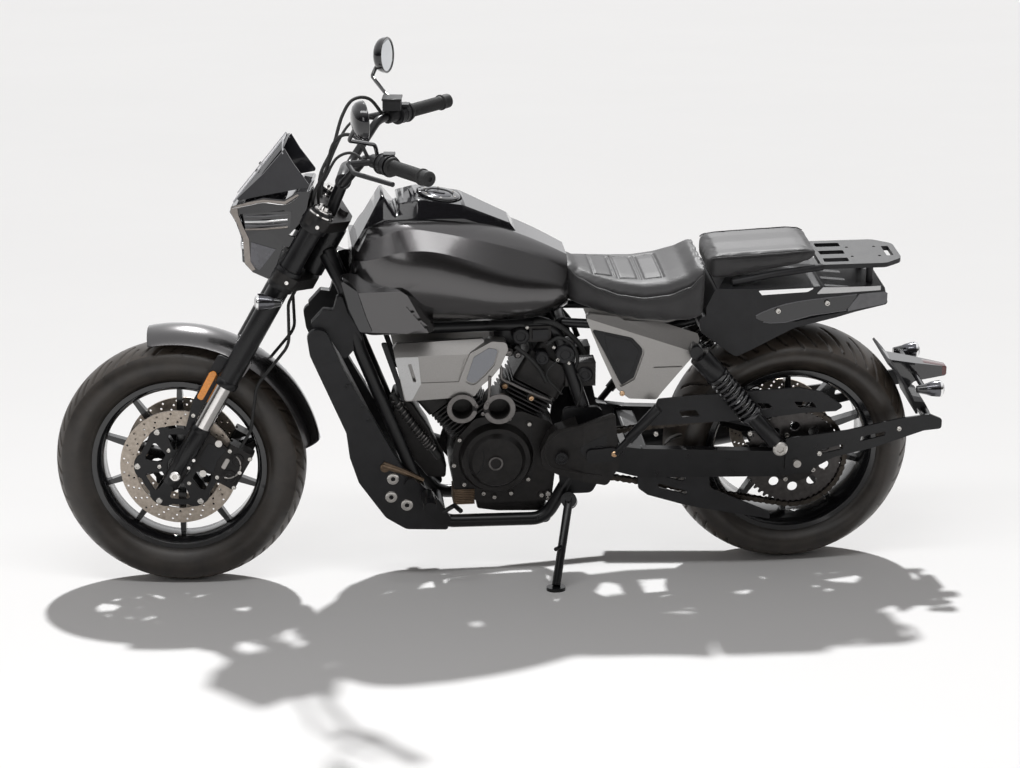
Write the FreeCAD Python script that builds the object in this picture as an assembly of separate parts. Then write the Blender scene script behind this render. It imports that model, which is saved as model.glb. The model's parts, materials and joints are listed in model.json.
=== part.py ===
import FreeCAD, Part
import math
import os

# Cruiser motorcycle leaning on its side stand.  Millimetres and degrees.
# Every piece is shaped in the upright bike's frame: x forward from the rear axle, y to the
# rider's left, z up from the ground.  Its Placement then leans the bike onto the stand, and
# turns the front end by the steering angle.

V = FreeCAD.Vector
Placement = FreeCAD.Placement
Rotation = FreeCAD.Rotation

SIZES = (
    # name, value
    ("wheelbase", 1566),
    ("lean_angle", 8.5),
    ("steer_angle", 9),
    ("steer_lock", 30),
    ("rake_angle", 29),
    ("fork_offset", 52),
    ("fork_half_spacing", 108),
    ("fork_tube_radius", 27),
    ("stanchion_radius", 21.5),
    ("fork_foot_radius", 24),
    ("fork_foot_top", 135),
    ("stanchion_top", 272),
    ("fork_top", 787),
    ("lower_yoke_height", 575),
    ("upper_yoke_height", 745),
    ("yoke_thickness", 30),
    ("head_tube_radius", 30),
    ("stem_radius", 13),
    ("front_axle_height", 320),
    ("front_tyre_radius", 320),
    ("front_tyre_half_width", 68),
    ("front_crown_half", 58),
    ("front_crown_drop", 20),
    ("front_rim_half", 45),
    ("rear_axle_height", 320),
    ("rear_tyre_radius", 320),
    ("rear_tyre_half_width", 102),
    ("rear_crown_half", 92),
    ("rear_crown_drop", 34),
    ("rear_rim_half", 80),
    ("rim_radius", 216),
    ("rim_depth", 18),
    ("flange_width", 7),
    ("flange_lip", 8),
    ("spoke_count", 10),
    ("hub_radius", 40),
    ("hub_half", 54),
    ("rear_hub_half", 92),
    ("axle_radius", 10),
    ("bearing_gap", 0.5),
    ("front_disc_radius", 150),
    ("disc_band", 46),
    ("disc_thickness", 5),
    ("rear_disc_radius", 130),
    ("sprocket_radius", 124),
    ("front_sprocket_radius", 38),
    ("front_sprocket_x", 590),
    ("front_sprocket_z", 352),
    ("chain_line", 120),
    ("chain_height", 16),
    ("chain_width", 18),
    ("tube_radius", 17),
    ("tank_floor", 712),
    ("seat_floor", 715),
    ("grip_radius", 17),
    ("bar_radius", 11),
    ("mirror_radius", 46),
    ("shock_half_spacing", 176),
    ("arm_inner", 133),
    ("arm_outer", 158),
    ("cap_radius", 53),
    ("cap_sink", 14),
    ("filler_radius", 26),
    ("filler_depth", 46),
    ("mudguard_gap", 16),
    ("mudguard_wall", 6),
    ("wall", 4),
    ("fit_gap", 0.3),
    ("moving_gap", 5),
    ("stand_reach", 272),
    ("stand_foot_x", 631),
    ("stand_pivot_x", 584),
    ("stand_pivot_y", 142),
    ("stand_pivot_z", 230),
)


class Named:
    """The sheet's values, read back by their names."""


doc = FreeCAD.newDocument("CruiserMotorcycle")
sheet = doc.addObject("Spreadsheet::Sheet", "Sizes")
for row, (name, value) in enumerate(SIZES, start=1):
    sheet.set(f"A{row}", name)
    sheet.set(f"B{row}", str(value))
    sheet.setAlias(f"B{row}", name)
doc.recompute()
size = Named()
for name, _ in SIZES:
    setattr(size, name, float(sheet.get(name)))


# ---------------------------------------------------------------- shape helpers

def rounded_wire(rows, closed=True):
    """A wire through (point, corner radius) rows, its corners rounded by tangent arcs."""
    count = len(rows)
    edges = []
    last = None
    first = None
    for index, (corner, radius) in enumerate(rows):
        at_end = not closed and index in (0, count - 1)
        if radius <= 0 or at_end:
            start = end = corner
            arc = None
        else:
            back = (rows[index - 1][0] - corner).normalize()
            ahead = (rows[(index + 1) % count][0] - corner).normalize()
            half = back.getAngle(ahead) / 2
            reach = radius / math.tan(half)
            middle = (back + ahead).normalize()
            start = corner + back * reach
            end = corner + ahead * reach
            centre = corner + middle * (radius / math.sin(half))
            arc = Part.Arc(start, centre - middle * radius, end).toShape()
        if last is not None and last.distanceToPoint(start) > 1e-6:
            edges.append(Part.LineSegment(last, start).toShape())
        if arc is not None:
            edges.append(arc)
        if first is None:
            first = start
        last = end
    if closed and last.distanceToPoint(first) > 1e-6:
        edges.append(Part.LineSegment(last, first).toShape())
    return Part.Wire(edges)


def side_wire(rows, y):
    """A closed outline in the plane at y from (x, z) or (x, z, corner radius) rows."""
    corners = [(V(row[0], y, row[1]), row[2] if len(row) > 2 else 0) for row in rows]
    return rounded_wire(corners)


def slab(rows, y_low, y_high):
    """A plate whose side outline is (x, z, corner radius) rows, from y_low to y_high."""
    return Part.Face(side_wire(rows, y_low)).extrude(V(0, y_high - y_low, 0))


def plan(rows, z_low, z_high):
    """A prism whose plan outline is (x, y, corner radius) rows."""
    corners = [(V(row[0], row[1], z_low), row[2] if len(row) > 2 else 0) for row in rows]
    return Part.Face(rounded_wire(corners)).extrude(V(0, 0, z_high - z_low))


def plan_half(rows, z_low, z_high):
    """A prism symmetric about y = 0 from (x, half width) rows, front to back."""
    whole = [(x, y) for x, y in rows] + [(x, -y) for x, y in reversed(rows)]
    return plan(whole, z_low, z_high)


def pipe(rows, radius):
    """A round bar along (x, y, z, bend radius) rows."""
    path = rounded_wire([(V(*row[:3]), row[3] if len(row) > 3 else 0) for row in rows], closed=False)
    start = V(*rows[0][:3])
    along = V(*rows[1][:3]) - start
    ring = Part.Wire(Part.makeCircle(radius, start, along))
    return path.makePipeShell([ring], True, False)


def rod(radius, start, end):
    """A round bar from one point to another."""
    along = V(*end) - V(*start)
    return Part.makeCylinder(radius, along.Length, V(*start), along)


def cross_rod(radius, x, z, y_low, y_high):
    """A round bar across the bike."""
    return Part.makeCylinder(radius, y_high - y_low, V(x, y_low, z), V(0, 1, 0))


def box(x, y, z):
    """A box from (low, high) pairs."""
    return Part.makeBox(x[1] - x[0], y[1] - y[0], z[1] - z[0], V(x[0], y[0], z[0]))


def turned(rows, x, z):
    """A ring about the cross axis at (x, z) from a closed (radius, y) outline."""
    points = [V(x + row[0], row[1], z) for row in rows]
    wire = Part.makePolygon(points + points[:1])
    return Part.Face(wire).revolve(V(x, 0, z), V(0, 1, 0), 360)


def fuse(shapes):
    """One solid from touching shapes, with the seams between their faces removed."""
    return shapes[0].multiFuse(shapes[1:]).removeSplitter()


def mirrored(shape):
    return shape.mirror(V(0, 0, 0), V(0, 1, 0))


def pair(shape):
    """The left piece and its mirror image on the right."""
    return Part.makeCompound([shape, mirrored(shape)])


def loft(wires):
    return Part.makeLoft(wires, True, False)


def moved(shape, placement):
    """The shape carried by a placement, with nothing left in its own location."""
    return shape.transformed(placement.toMatrix(), True)


def beyond(first, second, third):
    """The room in front of the plane through three points, to cut a facet with."""
    first, second, third = V(*first), V(*second), V(*third)
    normal = (second - first).cross(third - first)
    reach = 400
    room = Part.makeBox(2 * reach, 2 * reach, reach, V(-reach, -reach, 0))
    return moved(room, Placement(first, Rotation(V(0, 0, 1), normal)))


def around(shape, x, z, count):
    """Copies of a shape turned about the cross axis at (x, z)."""
    turns = [Rotation(V(0, 1, 0), 360.0 * index / count) for index in range(int(count))]
    return [moved(shape, Placement(V(0, 0, 0), turn, V(x, 0, z))) for turn in turns]


# ---------------------------------------------------------------- frames of reference

rear_axle = V(0, 0, size.rear_axle_height)
front_axle = V(size.wheelbase, 0, size.front_axle_height)

# The fork's own frame: origin at the front axle, z up the fork, x ahead of it.
fork_frame = Placement(front_axle, Rotation(V(0, 1, 0), -size.rake_angle))
steering_foot = fork_frame.multVec(V(-size.fork_offset, 0, 0))
steering_axis = fork_frame.Rotation.multVec(V(0, 0, 1))


def steering(angle):
    """The turn of the front end about the steering axis, positive to the left."""
    return Placement(V(0, 0, 0), Rotation(steering_axis, angle), steering_foot)


def crown_arc(radius, crown_half, crown_drop):
    """Radius of the tread's arc across the tyre."""
    return (crown_half ** 2 + crown_drop ** 2) / (2 * crown_drop)


def lowest(centre, axle, radius, arc):
    """Height of a tilted tyre's lowest point, by its crown arc."""
    return centre.z - (radius - arc) * math.sqrt(1 - axle.z ** 2) - arc


def stance_at(pitch, rise):
    lean = Rotation(V(1, 0, 0), -size.lean_angle)
    return Placement(V(0, 0, rise), lean.multiply(Rotation(V(0, 1, 0), pitch)))


def find_stance():
    """Pitch and rise that put both tyres on the ground in the leaned, steered pose."""
    front_arc = crown_arc(size.front_tyre_radius, size.front_crown_half, size.front_crown_drop)
    rear_arc = crown_arc(size.rear_tyre_radius, size.rear_crown_half, size.rear_crown_drop)
    turn = steering(-size.steer_angle)
    steered_centre = turn.multVec(front_axle)
    steered_axle = turn.Rotation.multVec(V(0, 1, 0))
    pitch = rise = 0.0
    for _ in range(8):
        stance = stance_at(pitch, rise)
        front = lowest(stance.multVec(steered_centre), stance.Rotation.multVec(steered_axle),
                       size.front_tyre_radius, front_arc)
        rear = lowest(stance.multVec(rear_axle), stance.Rotation.multVec(V(0, 1, 0)),
                      size.rear_tyre_radius, rear_arc)
        pitch += math.degrees((front - rear) / size.wheelbase)
        rise -= rear
    return stance_at(pitch, rise)


stance = find_stance()
ground_up = stance.Rotation.inverted().multVec(V(0, 0, 1))


# ---------------------------------------------------------------- wheels

def tyre(centre, radius, half_width, crown_half, crown_drop, rim_half):
    """A tyre: beads on the rim, bulging walls and a round crown."""
    bead = size.rim_radius + size.flange_lip + 4
    shoulder = radius - crown_drop
    wall_middle = (bead + shoulder) / 2

    def at(distance, y):
        return V(centre.x + distance, y, centre.z)

    edges = [
        Part.LineSegment(at(size.rim_radius, -rim_half), at(size.rim_radius, rim_half)),
        Part.LineSegment(at(size.rim_radius, rim_half), at(bead, rim_half)),
        Part.Arc(at(bead, rim_half), at(wall_middle, half_width), at(shoulder, crown_half)),
        Part.Arc(at(shoulder, crown_half), at(radius, 0), at(shoulder, -crown_half)),
        Part.Arc(at(shoulder, -crown_half), at(wall_middle, -half_width), at(bead, -rim_half)),
        Part.LineSegment(at(bead, -rim_half), at(size.rim_radius, -rim_half)),
    ]
    face = Part.Face(Part.Wire([edge.toShape() for edge in edges]))
    return face.revolve(centre, V(0, 1, 0), 360)


def rim(centre, rim_half, hub_half, spoke_half):
    """Barrel with two flanges, hub and tapered spokes in one casting."""
    outer = rim_half + size.flange_width
    lip = size.rim_radius + size.flange_lip
    inner = size.rim_radius - size.rim_depth
    barrel = turned([
        (size.rim_radius, -rim_half), (size.rim_radius, rim_half), (lip, rim_half), (lip, outer),
        (size.rim_radius - 5, outer), (inner, rim_half - 14), (inner, 14 - rim_half),
        (size.rim_radius - 5, -outer), (lip, -outer), (lip, -rim_half),
    ], centre.x, centre.z)
    hub = turned([
        (size.axle_radius + size.bearing_gap, -hub_half), (size.hub_radius, -hub_half),
        (size.hub_radius, hub_half), (size.axle_radius + size.bearing_gap, hub_half),
    ], centre.x, centre.z)
    root, tip = size.hub_radius - 6, inner + 4
    spoke = slab([
        (centre.x - 13, centre.z + root), (centre.x - 6, centre.z + tip),
        (centre.x + 6, centre.z + tip), (centre.x + 13, centre.z + root),
    ], -spoke_half, spoke_half)
    return fuse([barrel, hub] + around(spoke, centre.x, centre.z, size.spoke_count))


def disc(centre, radius, side, inner_face):
    """A brake disc's band on a five-armed carrier against the hub's face."""
    y_low = inner_face if side > 0 else -inner_face - size.disc_thickness
    y_high = y_low + size.disc_thickness
    hole = radius - size.disc_band
    band = turned([(hole, y_low), (radius, y_low), (radius, y_high), (hole, y_high)], centre.x, centre.z)
    bore = size.axle_radius + 8
    ring = turned([(bore, y_low), (size.hub_radius, y_low), (size.hub_radius, y_high), (bore, y_high)],
                  centre.x, centre.z)
    arm = slab([
        (centre.x - 16, centre.z + size.hub_radius - 4), (centre.x - 9, centre.z + hole + 3),
        (centre.x + 9, centre.z + hole + 3), (centre.x + 16, centre.z + size.hub_radius - 4),
    ], y_low, y_high)
    return fuse([band, ring] + around(arm, centre.x, centre.z, 5))


front_disc_face = size.hub_half
rear_disc_face = size.rear_hub_half

front_tyre = tyre(front_axle, size.front_tyre_radius, size.front_tyre_half_width,
                  size.front_crown_half, size.front_crown_drop, size.front_rim_half)
rear_tyre = tyre(rear_axle, size.rear_tyre_radius, size.rear_tyre_half_width,
                 size.rear_crown_half, size.rear_crown_drop, size.rear_rim_half)
front_rim = rim(front_axle, size.front_rim_half, size.hub_half, 11)
rear_rim = rim(rear_axle, size.rear_rim_half, size.rear_hub_half, 15)
front_discs = Part.makeCompound([
    disc(front_axle, size.front_disc_radius, side, front_disc_face) for side in (1, -1)])
rear_disc = disc(rear_axle, size.rear_disc_radius, -1, rear_disc_face)


def sprocket():
    """The rear sprocket on its carrier, with windows between its arms."""
    centre = rear_axle
    y_low = size.rear_hub_half
    y_high = size.chain_line + 4
    rim_in = size.sprocket_radius - 24
    band = turned([(rim_in, size.chain_line - 4), (size.sprocket_radius, size.chain_line - 4),
                   (size.sprocket_radius, y_high), (rim_in, y_high)], centre.x, centre.z)
    bore = size.axle_radius + size.bearing_gap
    boss = turned([(bore, y_low), (46, y_low), (46, y_high), (bore, y_high)], centre.x, centre.z)
    arm = slab([
        (centre.x - 8, centre.z + 42), (centre.x - 8, centre.z + rim_in + 4),
        (centre.x + 8, centre.z + rim_in + 4), (centre.x + 8, centre.z + 42),
    ], size.chain_line - 4, y_high)
    return fuse([band, boss] + around(arm, centre.x, centre.z, 10))


rear_sprocket = sprocket()

# ---------------------------------------------------------------- front end, in the fork's frame

leg_y = size.fork_half_spacing
lower_yoke_top = size.lower_yoke_height + size.yoke_thickness
upper_yoke_top = size.upper_yoke_height + size.yoke_thickness
axle_end = leg_y + size.fork_foot_radius + 4


def fork_leg():
    """Bottom casting, bright stanchion and wide upper tube on one line."""
    foot = rod(size.fork_foot_radius, (0, leg_y, -30), (0, leg_y, size.fork_foot_top))
    inner = rod(size.stanchion_radius, (0, leg_y, size.fork_foot_top), (0, leg_y, size.stanchion_top))
    tube = rod(size.fork_tube_radius, (0, leg_y, size.stanchion_top), (0, leg_y, size.fork_top))
    bore = rod(size.axle_radius, (0, leg_y - 60, 0), (0, leg_y + 60, 0))
    return fuse([foot, inner, tube]).cut(bore)


fork_legs = pair(fork_leg())


def yoke(z_low):
    """A clamp plate from the steering stem out to both fork tubes."""
    z_high = z_low + size.yoke_thickness
    plate = plan([
        (-size.fork_offset - 26, -26, 12), (-30, -leg_y - 34, 14), (30, -leg_y - 34, 22), (34, 0),
        (30, leg_y + 34, 22), (-30, leg_y + 34, 14), (-size.fork_offset - 26, 26, 12),
    ], z_low, z_high)
    for side in (1, -1):
        plate = plate.cut(rod(size.fork_tube_radius, (0, side * leg_y, z_low - 1),
                              (0, side * leg_y, z_high + 1)))
    return plate


def yokes():
    stem = rod(size.stem_radius, (-size.fork_offset, 0, size.lower_yoke_height),
               (-size.fork_offset, 0, upper_yoke_top + 12))
    return fuse([yoke(size.lower_yoke_height), yoke(size.upper_yoke_height), stem])


fork_yokes = yokes()

front_axle_bar = fuse([
    rod(size.axle_radius, (0, -axle_end, 0), (0, axle_end, 0)),
    rod(size.axle_radius + 7, (0, -leg_y + size.fork_foot_radius - 3, 0),
        (0, -size.hub_half - size.disc_thickness - 1, 0)),
    rod(size.axle_radius + 7, (0, size.hub_half + size.disc_thickness + 1, 0),
        (0, leg_y - size.fork_foot_radius + 3, 0)),
]).cut(fork_legs)


def caliper_block(y_face, radius, outside):
    """A caliper straddling a disc on the left, with a slot wider than the disc."""
    low = y_face - size.moving_gap - 12
    high = y_face + size.disc_thickness + size.moving_gap + outside
    body = plan([(-150, low, 6), (-82, low, 6), (-82, high, 6), (-150, high, 6)], 22, 128)
    slot = box((-151, -81), (y_face - size.moving_gap, y_face + size.disc_thickness + size.moving_gap),
               (0, 200))
    clear = Part.makeCylinder(radius + size.moving_gap, 400, V(0, -200, 0), V(0, 1, 0))
    return body.cut(slot.common(clear))


def front_caliper():
    """Caliper behind the fork leg, on a lug from the bottom casting."""
    body = caliper_block(front_disc_face, size.front_disc_radius, 20)
    lug = slab([(-100, 40), (-10, 20), (-10, 128), (-100, 110)], 74, 86)
    return fuse([body, lug]).cut(fork_legs)


front_calipers = pair(front_caliper())


def fork_guard():
    """Plate ahead of the leg that carries the reflector and the fender's front stay."""
    outline = [
        (8, 96, 4), (30, 96, 8), (52, 190, 10), (52, 330, 10), (22, 330, 4), (22, 150, 2), (8, 130, 2),
    ]
    plate = slab(outline, leg_y - 12, leg_y - 6)
    return plate.cut(fork_legs)


fork_guards = pair(fork_guard())


def hose(side):
    """A brake hose from the lower yoke down behind the leg to the caliper."""
    y = side * 92
    top = size.lower_yoke_height
    return pipe([
        (-40, side * 60, top), (-40, side * 60, top - 55, 40), (-92, side * 74, top - 145, 60),
        (-70, y, top - 275, 60), (-112, y, 190, 40), (-112, y, 128),
    ], 4)


# ---------------------------------------------------------------- front end, in the bike's frame

legs_in_bike = moved(fork_legs, fork_frame)
yokes_in_bike = moved(fork_yokes, fork_frame)

fender_skirt = size.front_tyre_radius + 8


def fender():
    """Front mudguard: an arched section swept round the tyre."""
    outer_crown = size.front_tyre_radius + 42
    inner_crown = outer_crown - size.wall
    skirt, half = fender_skirt, size.front_tyre_half_width + 7
    x, z = front_axle.x, front_axle.z

    def at(distance, y):
        return V(x, y, z + distance)

    edges = [
        Part.Arc(at(skirt, -half), at(outer_crown, 0), at(skirt, half)),
        Part.LineSegment(at(skirt, half), at(skirt, half - size.wall)),
        Part.Arc(at(skirt, half - size.wall), at(inner_crown, 0), at(skirt, size.wall - half)),
        Part.LineSegment(at(skirt, size.wall - half), at(skirt, -half)),
    ]
    face = Part.Face(Part.Wire([edge.toShape() for edge in edges]))
    face.rotate(V(x, 0, z), V(0, 1, 0), 12)
    return face.revolve(V(x, 0, z), V(0, 1, 0), -92)


def fender_stays():
    """Flat stays from the fender's skirts to the fork legs, in the fork's frame."""
    low, high = fender_skirt - 28, fender_skirt + 17
    plate = slab([(-30, low, 6), (20, low, 6), (24, high, 6), (-34, high, 6)], 74, leg_y - 20)
    return pair(plate)


def front_mudguard():
    """Mudguard shell with its stays seated on the fork legs."""
    stays = moved(fender_stays(), fork_frame).cut(legs_in_bike)
    return fuse([fender()] + stays.Solids)


front_fender = front_mudguard()

BAR_ROWS = (
    # x, y, z, bend radius: half of the handlebar, from the middle outwards
    (1136, 0, 1071, 0),
    (1136, 110, 1071, 60),
    (1069, 215, 1165, 60),
    (909, 430, 1168, 0),
)
bar_half = pipe(BAR_ROWS, size.bar_radius)
GRIP_INNER = V(1000, 308, 1166.3)
BAR_END = V(909, 430, 1168)
grip_along = (BAR_END - GRIP_INNER).normalize()


def risers():
    """Two posts from the upper yoke to the bar."""
    foot = fork_frame.multVec(V(-22, 0, upper_yoke_top))
    posts = []
    for side in (1, -1):
        posts.append(rod(15, (foot.x, side * 52, foot.z), (BAR_ROWS[0][0], side * 52, BAR_ROWS[0][2])))
    clamp = cross_rod(20, BAR_ROWS[0][0], BAR_ROWS[0][2], -70, 70)
    return posts + [clamp]


handlebar = fuse([bar_half, mirrored(bar_half)] + risers())
handlebar = handlebar.cut(yokes_in_bike)


def grip():
    """Rubber grip with a wider inner collar, bored for the bar."""
    sleeve = rod(size.grip_radius, tuple(GRIP_INNER), tuple(BAR_END + grip_along * 12))
    collar = rod(size.grip_radius + 5, tuple(GRIP_INNER), tuple(GRIP_INNER + grip_along * 8))
    return fuse([sleeve, collar]).cut(bar_half)


hand_grips = pair(grip())


def hand_control():
    """Switch housing, lever perch and lever."""
    start = GRIP_INNER - grip_along * 46
    housing = rod(24, tuple(start), tuple(GRIP_INNER - grip_along * 2))
    perch_start = start - grip_along * 34
    perch = rod(17, tuple(perch_start), tuple(start))
    pivot = perch_start + V(58, 20, -4)
    arm = rod(8, tuple(perch_start + grip_along * 14), tuple(pivot))
    lever = pipe([
        (pivot.x, pivot.y, pivot.z), (pivot.x - 18, pivot.y + 60, pivot.z - 8, 40),
        (pivot.x - 118, pivot.y + 178, pivot.z - 6),
    ], 6)
    return fuse([housing, perch, arm, lever]).cut(bar_half)


hand_controls = pair(hand_control())


def mirror_piece():
    """Round mirror on a bent stem."""
    foot = GRIP_INNER - grip_along * 60
    centre = V(1062, 392, 1297)
    facing = V(-0.93, -0.3, 0.05).normalize()
    head = Part.makeCone(size.mirror_radius, size.mirror_radius * 0.55, 20, centre, facing * -1)
    plate = Part.makeCylinder(size.mirror_radius, 5, centre, facing)
    back = centre - facing * 14
    stem = pipe([
        (foot.x, foot.y, foot.z + 14), (foot.x + 6, foot.y + 4, foot.z + 44, 16),
        (back.x + 20, back.y - 22, back.z - 52, 14), (back.x, back.y, back.z - 10),
    ], 5)
    return fuse([head, plate, stem])


mirrors = pair(mirror_piece().cut(hand_control()))

HOUSING_SIDE = (
    # x, z, corner radius: the headlight housing seen from the side
    (1416, 1004, 6), (1418, 990, 6), (1401, 963, 6), (1387, 927, 10), (1385, 857, 6), (1366, 835, 6),
    (1318, 816, 8), (1281, 928, 20), (1228, 988, 6), (1216, 1052, 6), (1246, 1052, 6), (1279, 1030, 10),
    (1332, 1034, 20),
)
LENS_SIDE = ((1396, 1000, 3), (1422, 992, 4), (1405, 962, 6), (1393, 926, 10), (1391, 862, 4), (1370, 846, 3))
SLOT_SIDE = ((1398, 986, 4), (1278, 1004, 6), (1268, 968, 4), (1386, 950, 4))
LIGHT_BAR_SIDE = ((1382, 967, 3), (1276, 981, 3), (1276, 971, 3), (1382, 957, 3))
slot_depth = 14


def headlight_taper(extra):
    return plan_half([(1424, 61 + extra), (1330, 92 + extra), (1200, 100 + extra)], 700, 1250)


def headlight_housing():
    """Wedge-shaped housing with a slot along each side and a facet down to its chin."""
    slots = slab(SLOT_SIDE, -120, 120).cut(headlight_taper(-slot_depth))
    chin = beyond((1385, 74, 925), (1350, 62, 830), (1281, 96, 925))
    body = slab(HOUSING_SIDE, -110, 110).common(headlight_taper(0)).cut(slots).cut(chin).cut(mirrored(chin))
    ear = pair(slab([(1310, 945, 4), (1310, 918, 4), (1240, 902, 4), (1240, 932, 4)], 82, 92))
    return fuse([body] + ear.Solids).cut(legs_in_bike).cut(front_lens).cut(yokes_in_bike)


def light_bar():
    """A clear light bar along each side slot."""
    bar = slab(LIGHT_BAR_SIDE, 0, 120)
    return bar.common(headlight_taper(-4)).cut(headlight_taper(-slot_depth))


front_lens = slab(LENS_SIDE, -58, 58)
headlight = headlight_housing()
headlight_lens = Part.makeCompound([front_lens] + pair(light_bar()).Solids)

SCREEN_SIDE = (
    (1408, 1014, 4), (1284, 1168, 6), (1256, 1120, 8), (1214, 1062, 6), (1246, 1056, 6), (1332, 1038, 20),
)


def screen():
    """Fly screen: a tinted visor open towards the rider, standing on the headlight."""
    outer = slab(SCREEN_SIDE, -96, 96)
    inner = slab(SCREEN_SIDE, -92, 92)
    inner.translate(V(-8, 0, -3))
    taper = plan_half([(1412, 50), (1330, 84), (1200, 92)], 900, 1250)
    hollow = plan_half([(1412, 46), (1330, 80), (1190, 88)], 900, 1250)
    shoulder = beyond((1284, 40, 1170), (1400, 40, 1030), (1284, 92, 1146))
    visor = outer.common(taper).cut(inner.common(hollow)).cut(headlight)
    return visor.cut(shoulder).cut(mirrored(shoulder))


flyscreen = screen()


def indicator(x, y, z, facing):
    """A bullet lamp: dome body, flat lens and a short stem towards the bike."""
    body = Part.makeCone(20, 9, 52, V(x, y, z), V(-facing, 0, 0))
    lens = Part.makeCylinder(20, 8, V(x, y, z), V(facing, 0, 0))
    stem = rod(6, (x - facing * 14, y, z), (x - facing * 14, y - 44, z))
    return fuse([body, lens, stem])


indicator_seat = fork_frame.multVec(V(25, leg_y + 57, size.lower_yoke_height - 54))
front_indicator = indicator(indicator_seat.x, indicator_seat.y, indicator_seat.z, 1).cut(legs_in_bike)
front_indicators = pair(front_indicator)

# ---------------------------------------------------------------- frame and engine

head_middle = (lower_yoke_top + size.upper_yoke_height) / 2
rail_joint = fork_frame.multVec(V(-size.fork_offset - 7, 0, head_middle + 7))
tube_joint = fork_frame.multVec(V(-size.fork_offset - 7, 0, head_middle - 8))

FRAME_TOP_RAIL = (
    # x, y, z, bend radius
    (rail_joint.x, 20, rail_joint.z, 0), (1112, 70, 690, 60), (620, 70, 690, 60), (545, 84, 470, 60),
    (530, 86, 380, 0),
)
FRAME_DOWN_TUBE = (
    (tube_joint.x, 20, tube_joint.z, 0), (1148, 52, 796, 50), (1112, 76, 640, 200), (958, 86, 240, 70),
    (905, 96, 165, 60), (640, 96, 162, 60), (560, 86, 300, 0),
)
PIVOT_PLATE_SIDE = (
    (596, 470, 14), (500, 470, 20), (470, 330, 30), (520, 232, 20), (600, 232, 14), (610, 330, 40),
)
arm_pivot_x, arm_pivot_z = 525, 362


def head_tube():
    low = lower_yoke_top + size.moving_gap
    high = size.upper_yoke_height - size.moving_gap
    tube = rod(size.head_tube_radius, (-size.fork_offset, 0, low), (-size.fork_offset, 0, high))
    bore = rod(size.stem_radius + 3, (-size.fork_offset, 0, low - 1), (-size.fork_offset, 0, high + 1))
    return moved(tube, fork_frame), moved(bore, fork_frame)


def main_frame_shape():
    """Headstock, top rails, down tubes, cradle, pivot plates and seat rails."""
    tube, bore = head_tube()
    pieces = [tube]
    seat_rail = pipe([(600, 70, 690, 0), (330, 84, 672, 80), (262, 84, 690, 0)], 12)
    plate = slab(PIVOT_PLATE_SIDE, 92, 104)
    rails = [pipe(rows, size.tube_radius) for rows in (FRAME_TOP_RAIL, FRAME_DOWN_TUBE)]
    for part in rails + [seat_rail, plate]:
        pieces += [part, mirrored(part)]
    pieces.append(cross_rod(14, 600, 690, -70, 70))
    pieces.append(cross_rod(14, 905, 165, -100, 100))
    pieces.append(cross_rod(15, 640, 165, -96, 96))
    pieces.append(cross_rod(16, arm_pivot_x, arm_pivot_z, -104, 104))
    return fuse(pieces).cut(bore)


main_frame = main_frame_shape()

crank_x, crank_z = 766, 338


def chain_band(extra, half):
    """The belt-shaped prism round both sprockets, this much outside their rims."""
    big, small = size.sprocket_radius, size.front_sprocket_radius
    start = V(rear_axle.x, size.chain_line - half, rear_axle.z)
    end = V(size.front_sprocket_x, size.chain_line - half, size.front_sprocket_z)
    tilt = math.atan2(end.z - start.z, end.x - start.x)
    spread = math.acos((big - small) / (end - start).Length)

    def at(centre, radius, angle):
        return centre + V(radius * math.cos(angle), 0, radius * math.sin(angle))

    up, down = tilt + spread, tilt - spread
    big, small = big + extra, small + extra
    edges = [
        Part.LineSegment(at(start, big, up), at(end, small, up)),
        Part.Arc(at(end, small, up), at(end, small, tilt), at(end, small, down)),
        Part.LineSegment(at(end, small, down), at(start, big, down)),
        Part.Arc(at(start, big, down), at(start, big, tilt + math.pi), at(start, big, up)),
    ]
    return Part.Face(Part.Wire([edge.toShape() for edge in edges])).extrude(V(0, 2 * half, 0))


def engine_shape():
    """The crankcase and gearbox as one heavy block, with the engine's real outline."""
    case = slab([
        (880, 300, 30), (872, 236, 24), (800, 206, 20), (622, 206, 20), (612, 300, 20), (618, 420, 30),
        (700, 456, 30), (820, 440, 30), (872, 380, 30),
    ], -82, 82)
    sump = slab([(812, 240, 6), (790, 194, 14), (640, 186, 14), (618, 240, 6)], -66, 66)
    return fuse([case, sump]).cut(main_frame)


engine_block = engine_shape()


def cylinder_block(lean, reach, fins):
    """A finned barrel, head and rocker cover standing on the crankcase at an angle."""
    base = 96
    pitch = 11
    pieces = [box((-46, 46), (-46, 46), (base, reach))]
    for index in range(fins):
        low = base + 8 + index * pitch
        pieces.append(box((-62, 62), (-68, 68), (low, low + 4)))
    head_low = base + 8 + fins * pitch
    pieces.append(plan([(-66, -74, 12), (66, -74, 12), (66, 74, 12), (-66, 74, 12)], head_low, reach - 34))
    pieces.append(plan([(-52, -60, 14), (52, -60, 14), (52, 60, 14), (-52, 60, 14)], reach - 34, reach))
    block = fuse(pieces)
    turn = Placement(V(crank_x, 0, crank_z), Rotation(V(0, 1, 0), lean))
    return moved(block, turn).cut(engine_block)


front_cylinder = cylinder_block(38, 292, 8)
rear_cylinder = cylinder_block(-30, 322, 9)
rear_cylinder = rear_cylinder.cut(front_cylinder).cut(main_frame)
front_cylinder = front_cylinder.cut(main_frame)


SPROCKET_COVER_SIDE = (
    (658, 361, 30), (636, 412, 14), (618, 428, 10), (472, 478, 10), (458, 330, 16), (490, 278, 14),
    (616, 305, 20), (652, 322, 14),
)
cover_face = size.arm_outer + 10


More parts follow.
